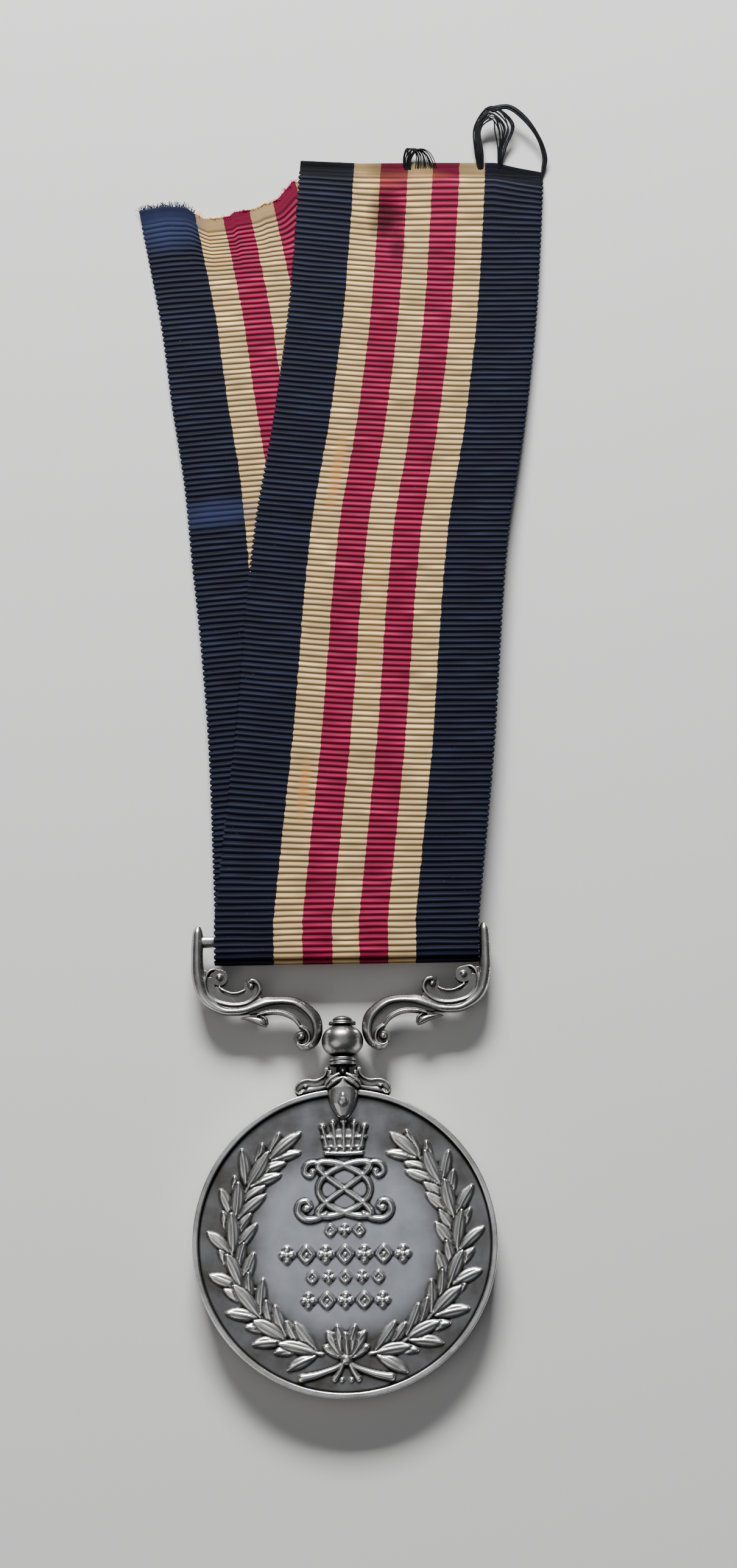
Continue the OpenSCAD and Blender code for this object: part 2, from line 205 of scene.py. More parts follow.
def make_mesh(name, points, faces, attributes=None):
    """A new object from points in millimetres and faces that are lists of point numbers."""
    mesh = bpy.data.meshes.new(name)
    mesh.from_pydata((np.asarray(points, float) * MM).tolist(), [], faces)
    mesh.polygons.foreach_set("use_smooth", [True] * len(mesh.polygons))
    thing = bpy.data.objects.new(name, mesh)
    for key, values in (attributes or {}).items():
        add_attribute(thing, key, values)
    mesh.update()
    bpy.context.scene.collection.objects.link(thing)
    return thing


def grid_faces(rows, cols, close_rows=False, close_cols=False, start=0):
    """Quads of a grid of points stored row by row."""
    i = np.arange(rows if close_rows else rows - 1)[:, None]
    j = np.arange(cols if close_cols else cols - 1)[None, :]
    i2, j2 = (i + 1) % rows, (j + 1) % cols
    quads = np.stack([i * cols + j, i * cols + j2, i2 * cols + j2, i2 * cols + j], axis=-1)
    return (quads.reshape(-1, 4) + start).tolist()


def spline(points, per_step=12):
    """A smooth path through given points, whose columns may be x, y, width and so on."""
    p = np.asarray(points, float)
    out = []
    for i in range(len(p) - 1):
        a, b, c, d = p[max(i - 1, 0)], p[i], p[i + 1], p[min(i + 2, len(p) - 1)]
        for t in np.linspace(0, 1, per_step, endpoint=False):
            out.append(0.5 * (2 * b + (c - a) * t + (2 * a - 5 * b + 4 * c - d) * t * t
                              + (3 * b - a - 3 * c + d) * t ** 3))
    out.append(p[-1])
    return np.array(out)


def rounded(corners, radius, steps=4):
    """An open outline with its inner corners rounded."""
    p = [np.array(c, float) for c in corners]
    out = [p[0]]
    for a, b, c in zip(p, p[1:], p[2:]):
        r = min(radius, np.linalg.norm(a - b) / 2, np.linalg.norm(c - b) / 2)
        start = b + (a - b) / np.linalg.norm(a - b) * r
        end = b + (c - b) / np.linalg.norm(c - b) * r
        for t in np.linspace(0, 1, steps + 1):
            out.append((1 - t) ** 2 * start + 2 * t * (1 - t) * b + t * t * end)
    return out + [p[-1]]


def in_middle(path, half_w, half_h):
    """Rows for Shell.sweep along a plan path in the medal's middle plane."""
    size = len(path)
    return np.column_stack([path[:, :2], np.full(size, MID_Z), np.broadcast_to(half_w, size),
                            np.broadcast_to(half_h, size)])


def lathe(name, outline, centre, axis, segments):
    """A turned piece: outline holds (radius, distance along the axis) pairs, both ends on the axis or
    closed."""
    outline = np.asarray(outline, float)
    turn = np.arange(segments) * TAU / segments
    r, h = outline[:, 0][:, None], outline[:, 1][:, None] * np.ones(segments)
    u, v = r * np.cos(turn), r * np.sin(turn)
    order = {"x": (h, u, v), "y": (v, h, u), "z": (u, v, h)}[axis]
    points = np.stack(order, axis=-1).reshape(-1, 3) + np.array(centre, float)
    thing = make_mesh(name, points, grid_faces(len(outline), segments, close_cols=True))
    weld(thing)
    return thing


def weld(thing, distance_mm=0.001):
    """Joins points that fall together, and turns every face outward."""
    import bmesh
    b = bmesh.new()
    b.from_mesh(thing.data)
    bmesh.ops.remove_doubles(b, verts=b.verts, dist=distance_mm * MM)
    bmesh.ops.recalc_face_normals(b, faces=b.faces)
    b.to_mesh(thing.data)
    b.free()


class Shell:
    """Closed sweeps and beads in millimetres that fuse into one cast piece."""

    def __init__(self):
        self.points = []
        self.faces = []

    def add(self, points, faces):
        start = len(self.points)
        self.points += [tuple(p) for p in points]
        self.faces += [[start + k for k in face] for face in faces]

    def sweep(self, path, section):
        """path rows are x, y, z, half-width, half-height; section(i, n) gives unit (across, up) pairs."""
        path = np.asarray(path, float)
        n = len(path)
        along = np.gradient(path[:, :3], axis=0)
        along /= np.linalg.norm(along, axis=1)[:, None]
        side = np.stack([-along[:, 1], along[:, 0], np.zeros(n)], axis=1)
        side /= np.maximum(np.linalg.norm(side, axis=1), 1e-9)[:, None]
        up = np.cross(along, side)
        rings = []
        for i in range(n):
            s = np.asarray(section(i, n), float)
            rings.append(path[i, :3] + side[i] * s[:, :1] * path[i, 3] + up[i] * s[:, 1:] * path[i, 4])
        k = len(rings[0])
        points = np.concatenate(rings + [path[:1, :3], path[-1:, :3]])
        faces = grid_faces(n, k, close_cols=True)
        faces += [[(j + 1) % k, j, n * k] for j in range(k)]
        faces += [[(n - 1) * k + j, (n - 1) * k + (j + 1) % k, n * k + 1] for j in range(k)]
        self.add(points, faces)

    def tube(self, points, radius, z, lift=1.0):
        """A round bead along (x, y) points, on both faces when z is a height above the middle."""
        path = spline(points, 8)
        size = np.ones(len(path)) * radius if np.isscalar(radius) else np.interp(
            np.linspace(0, 1, len(path)), np.linspace(0, 1, len(radius)), radius)
        circle = [(math.cos(a), math.sin(a)) for a in np.arange(10) * TAU / 10]
        for height in ([z, -z] if z else [0]):
            rows = np.column_stack([path[:, 0], path[:, 1], np.full(len(path), MID_Z + height), size,
                                    size * lift])
            self.sweep(rows, lambda i, n: circle)

    def ball(self, centre, radii, rings=12, turns=20):
        a = np.linspace(-math.pi / 2, math.pi / 2, rings)[:, None]
        b = (np.arange(turns) * TAU / turns)[None, :]
        unit = np.stack([np.cos(a) * np.cos(b), np.cos(a) * np.sin(b), np.sin(a) * np.ones_like(b)],
                        axis=-1)
        self.add(unit.reshape(-1, 3) * radii + np.array(centre), grid_faces(rings, turns, close_cols=True))

    def disc(self, centre, radius, half, turns=32):
        """A flat pad through the piece."""
        a = np.arange(turns) * TAU / turns
        rim = np.stack([np.cos(a), np.sin(a)], axis=1) * radius + np.array(centre[:2])
        points = [(x, y, MID_Z + z) for z in (-half, half) for x, y in rim]
        faces = grid_faces(2, turns, close_cols=True) + [list(range(turns))[::-1],
                                                         list(range(turns, 2 * turns))]
        self.add(points, faces)

    def fuse(self, name, voxel=0.07, relax=3):
        """One closed skin round everything added so far, slightly softened as castings are."""
        mesh = bpy.data.meshes.new(name + "_cast")
        mesh.from_pydata(self.points, [], self.faces)
        rough = bpy.data.objects.new(name + "_cast", mesh)
        bpy.context.scene.collection.objects.link(rough)
        skin = rough.modifiers.new("fuse", "REMESH")
        skin.mode = "VOXEL"
        skin.voxel_size = voxel
        soft = rough.modifiers.new("soften", "SMOOTH")
        soft.factor = 0.5
        soft.iterations = relax
        bpy.context.view_layer.update()
        done = bpy.data.meshes.new_from_object(rough.evaluated_get(bpy.context.evaluated_depsgraph_get()))
        bpy.data.objects.remove(rough)
        done.transform(Matrix.Scale(MM, 4))
        done.polygons.foreach_set("use_smooth", [True] * len(done.polygons))
        thing = bpy.data.objects.new(name, done)
        bpy.context.scene.collection.objects.link(thing)
        return thing


# ---- materials ----

def feed(tree, sockets, values):
    """Links or sets each socket: a value is another node's socket or a constant."""
    for socket, value in zip(sockets, values):
        if hasattr(value, "links"):
            tree.links.new(value, socket)
        else:
            socket.default_value = value


def mix_colour(tree, factor, a, b):
    """A colour mix; factor, a and b are sockets or constants."""
    mix = node_of(tree, "ShaderNodeMix", data_type="RGBA")
    feed(tree, (mix.inputs[0], mix.inputs[6], mix.inputs[7]), (factor, a, b))
    return mix.outputs[2]


def maths(tree, what, a, b=0.0, clamp=False):
    step = node_of(tree, "ShaderNodeMath", operation=what, use_clamp=clamp)
    feed(tree, step.inputs, (a, b))
    return step.outputs[0]


def stretch(tree, value, low, high):
    """value moved from low..high to 0..1, clamped."""
    step = node_of(tree, "ShaderNodeMapRange")
    step.inputs["From Min"].default_value = low
    step.inputs["From Max"].default_value = high
    tree.links.new(value, step.inputs["Value"])
    return step.outputs[0]


def noise(tree, scale, detail=3.0, roughness=0.55):
    """Noise over the piece's own coordinates, with scale in cells per metre."""
    place = node_of(tree, "ShaderNodeTexCoord")
    grain = node_of(tree, "ShaderNodeTexNoise", Scale=scale, Detail=detail, Roughness=roughness)
    tree.links.new(place.outputs["Object"], grain.inputs["Vector"])
    return grain.outputs["Fac"]


def attribute(tree, name):
    return node_of(tree, "ShaderNodeAttribute", attribute_name=name).outputs["Fac"]


def new_material(name):
    material = bpy.data.materials.new(name)
    material.use_nodes = True
    tree = material.node_tree
    return material, tree, tree.nodes["Principled BSDF"]


def bump(tree, shader, height, distance_mm, strength=1.0):
    step = node_of(tree, "ShaderNodeBump", Strength=strength, Distance=distance_mm * MM)
    tree.links.new(height, step.inputs["Height"])
    tree.links.new(step.outputs[0], shader.inputs["Normal"])


BRIGHT = (0.96, 0.95, 0.93, 1)
WORN = (0.58, 0.57, 0.555, 1)
# The field's blue tint is a painted reflection of the sky.
FIELD = (0.70, 0.715, 0.78, 1)
LEAF = (0.33, 0.325, 0.31, 1)
# Dark grey, for tarnish and also for the painted falloff of the field and the painted shade on the arms' low
# webs.
TARNISH_AND_SHADE = (0.125, 0.118, 0.105, 1)
# Near black, for patina in the hollows and also for painted shade.
BLACK_PATINA_AND_SHADE = (0.012, 0.011, 0.010, 1)


def silver(name, body=WORN, struck=False):
    """Old silver: bright where it is rubbed, grey on the flats, and nearly black in the recesses, which is
    patina there and also painted shade.
    """
    material, tree, shader = new_material(name)
    shader.inputs["Metallic"].default_value = 1.0
    blotch = noise(tree, 260, 4)
    fine = noise(tree, 5200, 3, 0.7)
    if struck:
        patina_and_rim_shade, worn, patina_and_edge_falloff = attribute(tree, "patina_and_rim_shade"), attribute(tree, "worn"), attribute(tree, "patina_and_edge_falloff")
        # The field goes toward dark grey near the relief, which is patina, and toward the rim, which is a
        # painted reflection falloff.
        field = mix_colour(tree, stretch(tree, maths(tree, "ADD", patina_and_edge_falloff, maths(
            tree, "MULTIPLY", blotch, 1.1)), 0.35, 1.75), body, TARNISH_AND_SHADE)
        colour = mix_colour(tree, stretch(tree, attribute(tree, "height"), 0.04, 0.2), field, LEAF)
        colour = mix_colour(tree, worn, colour, BRIGHT)
        # Near black in the hollows by the relief, which is patina, and along the foot of the rim, which is
        # painted shade.
        colour = mix_colour(tree, patina_and_rim_shade, colour, BLACK_PATINA_AND_SHADE)
        rough_from = maths(tree, "SUBTRACT", maths(tree, "ADD", 0.36, maths(
            tree, "MULTIPLY", patina_and_rim_shade, 0.4)), maths(tree, "MULTIPLY", worn, 0.14), True)
    else:
        # Painted shade: ambient occlusion darkens the hollows toward near black, over the patina they hold.
        shade = node_of(tree, "ShaderNodeAmbientOcclusion", Distance=1.3 * MM, samples=8)
        shade_deep = stretch(tree, shade.outputs["AO"], 0.95, 0.62)
        edge = stretch(tree, node_of(tree, "ShaderNodeNewGeometry").outputs["Pointiness"], 0.52, 0.6)
        colour = mix_colour(tree, maths(tree, "MULTIPLY", stretch(tree, blotch, 0.4, 0.7), 0.6), body,
                            TARNISH_AND_SHADE)
        colour = mix_colour(tree, edge, colour, BRIGHT)
        # Painted shade: the low webs between the ridges go toward dark grey, as well as their patina.
        colour = mix_colour(tree, maths(tree, "MULTIPLY", attribute(tree, "low"), 0.62), colour, TARNISH_AND_SHADE)
        colour = mix_colour(tree, shade_deep, colour, BLACK_PATINA_AND_SHADE)
        rough_from = maths(tree, "ADD", maths(tree, "MULTIPLY", shade_deep, 0.35), maths(
            tree, "MULTIPLY", fine, 0.16), True)
        rough_from = maths(tree, "ADD", rough_from, 0.2, True)
    tree.links.new(colour, shader.inputs["Base Color"])
    tree.links.new(rough_from, shader.inputs["Roughness"])
    bump(tree, shader, maths(tree, "ADD", fine, maths(tree, "MULTIPLY", noise(tree, 1400, 2), 0.8)), 0.007)
    return material


def finish_piece(thing, material, body, slot, *nodes):
    """Gives a piece its material and its body, and hides the CAD nodes that it stands for. slot is not used.
    """
    thing.data.materials.clear()
    thing.data.materials.append(material)
    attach(thing, body)
    if nodes:
        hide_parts(*nodes)
    return thing


# ---- the struck disc ----

def polar(radius, degrees):
    a = math.radians(degrees)
    return np.array([radius * math.cos(a), radius * math.sin(a)])


def blur(field, cells):
    """Gaussian blur over a square grid."""
    k = np.fft.fftfreq(field.shape[0])
    g = np.exp(-2 * math.pi ** 2 * cells ** 2 * k ** 2)
    return np.real(np.fft.ifft2(np.fft.fft2(field) * g[:, None] * g[None, :]))


class Relief:
    """Heights in millimetres above a sunk field, over a square grid."""

    def __init__(self, reach, step):
        count = int(round(2 * reach / step)) + 1
        self.step = 2 * reach / (count - 1)
        self.line = np.linspace(-reach, reach, count)
        self.x, self.y = np.meshgrid(self.line, self.line)
        self.h = np.zeros_like(self.x)

    def window(self, centre, reach):
        i = np.clip(np.searchsorted(self.line, [centre[1] - reach, centre[1] + reach]), 0, len(self.line))
        j = np.clip(np.searchsorted(self.line, [centre[0] - reach, centre[0] + reach]), 0, len(self.line))
        return slice(*i), slice(*j)

    def lift(self, centre, reach, shape):
        """Raises the grid to shape(dx, dy) round a centre."""
        at = self.window(centre, reach)
        if self.h[at].size:
            self.h[at] = np.maximum(self.h[at], shape(self.x[at] - centre[0], self.y[at] - centre[1]))

    def bead(self, centre, radius, height):
        self.lift(centre, radius, lambda x, y: height * np.sqrt(
            np.clip(1 - (x * x + y * y) / radius ** 2, 0, 1)))

    def stroke(self, points, width, height, crown=0.5):
        """A raised line; width and height are one number or a list spread along it."""
        path = spline(points, 24)
        keys = np.linspace(0, 1, len(path))
        w = np.interp(keys, np.linspace(0, 1, np.size(width)), np.ravel(width)) / 2
        h = np.interp(keys, np.linspace(0, 1, np.size(height)), np.ravel(height))
        for p, r, top in zip(path, w, h):
            self.lift(p, r, lambda x, y: top * np.clip(1 - (x * x + y * y) / r ** 2, 0, 1) ** crown)

    def leaf(self, base, heading, length, width, height, bend=0.0):
        """A laurel leaf with a midrib and a thick tip, cut free of what lies under it by a narrow moat."""
        c, s = math.cos(math.radians(heading)), math.sin(math.radians(heading))
        at = self.window(base + polar(length / 2, heading), length / 2 + width)
        x, y = self.x[at] - base[0], self.y[at] - base[1]
        u = (x * c + y * s) / length
        v = (-x * s + y * c) - bend * length * u * (1 - u)
        t = np.clip(u, 0, 1)
        half = width / 2 * (t ** 0.8) * ((1 - t) ** 0.72) / 0.349
        q = np.abs(v) / np.maximum(half, 1e-6)
        body = np.clip(1 - q ** 2.6, 0, 1) ** 0.6
        rib = 0.22 * np.exp(-(v / 0.09) ** 2) * np.clip(1.4 - t, 0, 1)
        dip = 0.20 * np.exp(-((np.abs(v) - 0.24) / 0.11) ** 2) * np.clip(4.5 * t * (1 - t), 0, 1)
        rise = (0.6 + 0.3 * np.sin(math.pi * np.clip(t * 1.05, 0, 1))
                + 0.2 * np.clip((t - 0.72) / 0.28, 0, 1))
        shape = np.where((u > 0) & (u < 1) & (q < 1), height * body * (rise + rib - dip), 0)
        moat = (u > 0.05) & (u < 1.04) & (np.abs(v) < half + 0.13)
        self.h[at] = np.maximum(np.where(moat, np.minimum(self.h[at], 0.05), self.h[at]), shape)

    def lozenge(self, centre, half_w, half_h, height, hollow=0.0):
        """A soft-cornered lozenge, with a sunk middle if hollow is the share that is sunk."""
        def shape(x, y):
            d = 1 - (np.abs(x / half_w) ** 1.25 + np.abs(y / half_h) ** 1.25) ** 0.8
            top = height * np.clip(d * 5, 0, 1) ** 0.6
            return np.where(d > 1 - hollow, height * 0.2, top) if hollow else top

        self.lift(centre, max(half_w, half_h), shape)


def wreath(relief, chance):
    """Two branches of laurel that rise from the bow: clusters of leaves along a thin stem, and berries."""
    stem_r, foot, tip_angle = DISC_R * 0.735, 258.0, 132.0
    clusters = 15
    for mirror in (1, -1):
        flip = np.array([mirror, 1])
        stem = [polar(stem_r + 0.12 * math.sin(a / 9), a) * flip for a in np.linspace(foot, tip_angle, 24)]
        relief.stroke(stem, 0.34, [0.3, 0.26, 0.22], 0.7)
        # From the tip to the foot, so that each leaf lies over the next cluster's root
        for k in reversed(range(clusters)):
            a = foot - 3 - (foot - tip_angle - 3) * k / (clusters - 1)
            base = polar(stem_r, a)
            full = k % 2 == 0
            spread = ([(-40, 4.0, 1.35), (39, 4.1, 1.4), (-3, 4.5, 1.5)] if full
                      else [(-27, 3.2, 1.15), (30, 3.3, 1.2)])
            if k == clusters - 1:
                spread = [(-22, 3.4, 1.15), (31, 3.9, 1.3), (4, 4.6, 1.45)]
            if not full:
                for side in (-1, 1):
                    berry = polar(stem_r + side * 1.15, a - 4.6)
                    relief.stroke([base * flip, (base * 0.4 + berry * 0.6) * flip, berry * flip], 0.18,
                                  0.16)
                    relief.bead(berry * flip, 0.3, 0.36)
            for turn, length, width in spread:
                long = length * chance.uniform(0.93, 1.07)
                heading = a - 90 - turn + chance.uniform(-5, 5)
                start = base + polar(0.28 * (np.sign(turn) if abs(turn) > 10 else 0) * -1, a)
                # The outer leaves are kept inside the rim
                over = np.linalg.norm(start + polar(long, heading)) - (FIELD_R - 0.55)
                long *= max(0.72, 1 - over / long) if over > 0 else 1
                relief.leaf(start * flip, heading if mirror == 1 else 180 - heading, long,
                            width * chance.uniform(0.93, 1.08), 0.38 + chance.uniform(-0.03, 0.03),
                            mirror * math.copysign(0.10, turn))


def bow(relief):
    """The tied bow: full loops folded out of broad ribbon, a knot, and the cut ends of the branches."""
    y = -DISC_R * 0.752
    for side in (-1, 1):
        tail = [(0.3, -0.3), (1.2, -0.9), (2.4, -1.35), (3.7, -1.75), (5.2, -2.05)]
        relief.stroke([(side * a, y + b) for a, b in tail], [0.4, 0.5, 0.6, 0.75, 0.95],
                      [0.28, 0.34, 0.34, 0.38, 0.34])
        relief.stroke([(side * 0.3, y - 0.4), (side * 0.8, y - 1.3), (side * 1.35, y - 2.1)],
                      [0.3, 0.5, 0.65],
                      [0.26, 0.34, 0.3])
        relief.bead((side * 1.4, y - 2.15), 0.36, 0.36)
        relief.bead((side * 0.55, y - 2.3), 0.27, 0.3)
        for heading, long, wide, bend in ((28, 2.9, 1.5, 0.25), (55, 3.7, 1.7, 0.2), (76, 3.9, 1.3, 0.12),
                                          (95, 3.0, 0.9, 0)):
            turn = heading if side == 1 else 180 - heading
            relief.leaf(np.array([side * 0.15, y + 0.2]), turn, long, wide, 0.44, side * bend)
    relief.bead((0, y), 0.66, 0.5)


def coronet(relief):
    """A generic open coronet: a jewelled band and five pearled rays in front of a low cap."""
    low, high = DISC_R * 0.582, DISC_R * 0.79
    relief.lift((0, low + 1.3), 2.3, lambda x, y: 0.15 * np.clip(1 - (x / 2.3) ** 2 - (y / 1.6) ** 2, 0,
                                                                 1) ** 0.4)
    relief.stroke([(-2.2, low), (0, low - 0.12), (2.2, low)], 0.4, 0.42)
    relief.stroke([(-2.3, low + 0.78), (0, low + 0.69), (2.3, low + 0.78)], 0.28, 0.36)
    for k in range(-2, 3):
        relief.lozenge((k * 0.87, low + 0.36), 0.28, 0.24, 0.4)
        foot, head = (k * 1.02, low + 0.8), (k * 1.26, high - 0.24 * abs(k) ** 1.4)
        relief.stroke([foot, ((foot[0] + head[0]) / 2, (foot[1] + head[1]) / 2), head], [0.8, 0.34, 0.36],
                      [0.34, 0.4, 0.4])
        relief.bead(head, 0.38, 0.46)
        for side in (-1, 1):
            relief.bead((foot[0] + side * 0.36 + k * 0.08, foot[1] + 1.05), 0.22, 0.36)
        if k < 2:
            a, b = k * 1.14, (k + 1) * 1.14
            relief.stroke([(a, low + 2.3), ((a + b) / 2, low + 1.75), (b, low + 2.3)], 0.2, 0.28)


def knot(relief):
    """A generic ornament: a closed interlaced knot between four scrolls. It spells nothing."""
    centre, half_w, half_h = (0, 6.2), 3.1, 3.2
    turns = np.linspace(0, TAU, 49)
    path = [(centre[0] + half_w * math.sin(3 * t + math.pi / 2),
             centre[1] + half_h * math.sin(2 * t)) for t in turns]
    thick = [0.5 + 0.2 * math.sin(2 * t) ** 2 for t in turns]
    relief.stroke(path, thick, [0.38 + 0.07 * math.cos(6 * t) for t in turns], 0.35)
    for side in (-1, 1):
        scroll = [(2.2, 3.35), (3.3, 2.75), (4.6, 2.7), (5.5, 3.5), (5.35, 4.55), (4.5, 4.85),
                  (4.05, 4.25), (4.5, 3.85)]
        relief.stroke([(side * x, y) for x, y in scroll], [0.45, 0.65, 0.7, 0.62, 0.56, 0.5, 0.45, 0.5],
                      0.4, 0.35)
        relief.bead((side * 4.55, 4.0), 0.42, 0.42)
        upper = [(2.5, 8.6), (3.4, 9.35), (4.4, 9.1), (4.7, 8.2), (4.0, 7.7), (3.6, 8.2)]
        relief.stroke([(side * x, y) for x, y in upper], [0.36, 0.5, 0.56, 0.5, 0.44, 0.4], 0.38, 0.35)
        relief.bead((side * 3.75, 8.3), 0.32, 0.38)


def ornament_rows(relief):
    """Four rows of small generic ornaments across the field: framed lozenges and quatrefoils."""
    rows = [(1.37, 3, 1.72, 0.78), (-1.42, 7, 2.28, 1.16), (-4.05, 5, 1.95, 0.8), (-6.75, 5, 2.18, 1.05)]
    for n, (y, count, pitch, tall) in enumerate(rows):
        for k in range(count):
            x = (k - (count - 1) / 2) * pitch
            wide = min(pitch * 0.44, tall * 0.95)
            if (k + n) % 2 == 0:
                relief.lozenge((x, y), wide, tall, 0.36, hollow=0.5)
                relief.bead((x, y), tall * 0.22, 0.32)
            else:
                for turn in range(4):
                    petal = polar(tall * 0.55, 90 * turn)
                    relief.bead((x + petal[0] * wide / tall, y + petal[1]), tall * 0.4, 0.36)
                relief.bead((x, y), tall * 0.3, 0.4)


def back_design(relief):
    """The other face: a plain field, a beaded border and a generic eight-rayed star in a ring."""
    for k in range(96):
        relief.bead(polar(FIELD_R - 0.95, k * 3.75), 0.3, 0.26)
    ring = [polar(11.2, a) for a in np.linspace(0, 360, 60)]
    relief.stroke(ring, 0.5, 0.3, 0.6)
    for k in range(8):
        relief.leaf(polar(1.8, k * 45), k * 45, 7.6, 2.5, 0.36)
        relief.leaf(polar(2.2, k * 45 + 22.5), k * 45 + 22.5, 4.6, 1.5, 0.28)
        relief.bead(polar(8.9, k * 45 + 22.5), 0.45, 0.32)
    relief.bead((0, 0), 1.7, 0.42)


def relief_piece(name, relief, floor_z, up):
    """Turns a relief into a mesh inside the rim, facing up or down, with the wear that its shape brings."""
    h = blur(relief.h, 0.55)
    cells = 1 / relief.step
    near = blur(relief.h, 0.28 * cells)
    patina_and_rim_shade = np.clip((near - h) / 0.085, 0, 1) ** 1.1 * np.clip(1 - h / 0.3, 0, 1)
    worn = np.clip((h - blur(h, 0.2 * cells)) / 0.06, 0, 1) ** 1.4 * np.clip(h / 0.14, 0, 1)
    radius = np.hypot(relief.x, relief.y)
    patina_and_edge_falloff = np.clip(blur((relief.h > 0.03).astype(float), 1.5 * cells) * 1.5
                    * np.clip((radius - 8) / 4, 0.25, 1), 0, 1)
    # Painted reflection falloff: the field darkens toward the rim by radius alone.
    patina_and_edge_falloff = np.clip(patina_and_edge_falloff + np.clip((radius - 8.5) / 8.5, 0, 1) * 0.9, 0, 1)
    # Painted shade: the field goes near black along the foot of the rim.
    patina_and_rim_shade = np.clip(patina_and_rim_shade + np.clip((radius - FIELD_R + 0.38) / 0.3, 0, 1), 0, 1)
    inside = radius < FIELD_R + 0.12
    number = np.cumsum(inside.ravel()).reshape(inside.shape) - 1
    full = inside[:-1, :-1] & inside[1:, :-1] & inside[:-1, 1:] & inside[1:, 1:]
    i, j = np.nonzero(full)
    quads = np.stack([number[i, j], number[i, j + 1], number[i + 1, j + 1], number[i + 1, j]], axis=1)
    if not up:
        quads = quads[:, ::-1]
    z = floor_z + (h if up else -h)
    points = np.stack([relief.x[inside], relief.y[inside], z[inside]], axis=1)
    return make_mesh(name, points, quads.tolist(), {
        "patina_and_rim_shade": patina_and_rim_shade[inside], "worn": worn[inside], "patina_and_edge_falloff": patina_and_edge_falloff[inside], "height": h[inside]})


def build_disc(material, rim_material):
    front = Relief(FIELD_R + 0.2, FRONT_STEP)
    wreath(front, np.random.default_rng(11))
    bow(front)
    coronet(front)
    knot(front)
    ornament_rows(front)
    face = relief_piece("disc_front", front, DISC_T - FIELD_DEPTH, True)
    finish_piece(face, material, "medal", "disc_silver", "medal_disc")
    back = Relief(FIELD_R + 0.2, BACK_STEP)
    back_design(back)
    reverse = relief_piece("disc_back", back, FIELD_DEPTH, False)
    finish_piece(reverse, material, "medal", "disc_silver", "medal_disc")
    lip = FIELD_DEPTH + 0.1
    outline = rounded([
        (FIELD_R + 0.02, lip), (FIELD_R + 0.1, 0.0), (DISC_R, 0.0), (DISC_R, DISC_T),
        (FIELD_R + 0.1, DISC_T), (FIELD_R + 0.02, DISC_T - lip)], 0.2, 5)
    outline.append(outline[0])
    rim = lathe("disc_rim", outline, (0, 0, 0), "z", 360)
    finish_piece(rim, rim_material, "medal", "disc_silver", "medal_disc")


# ---- claw, swivel and post ----

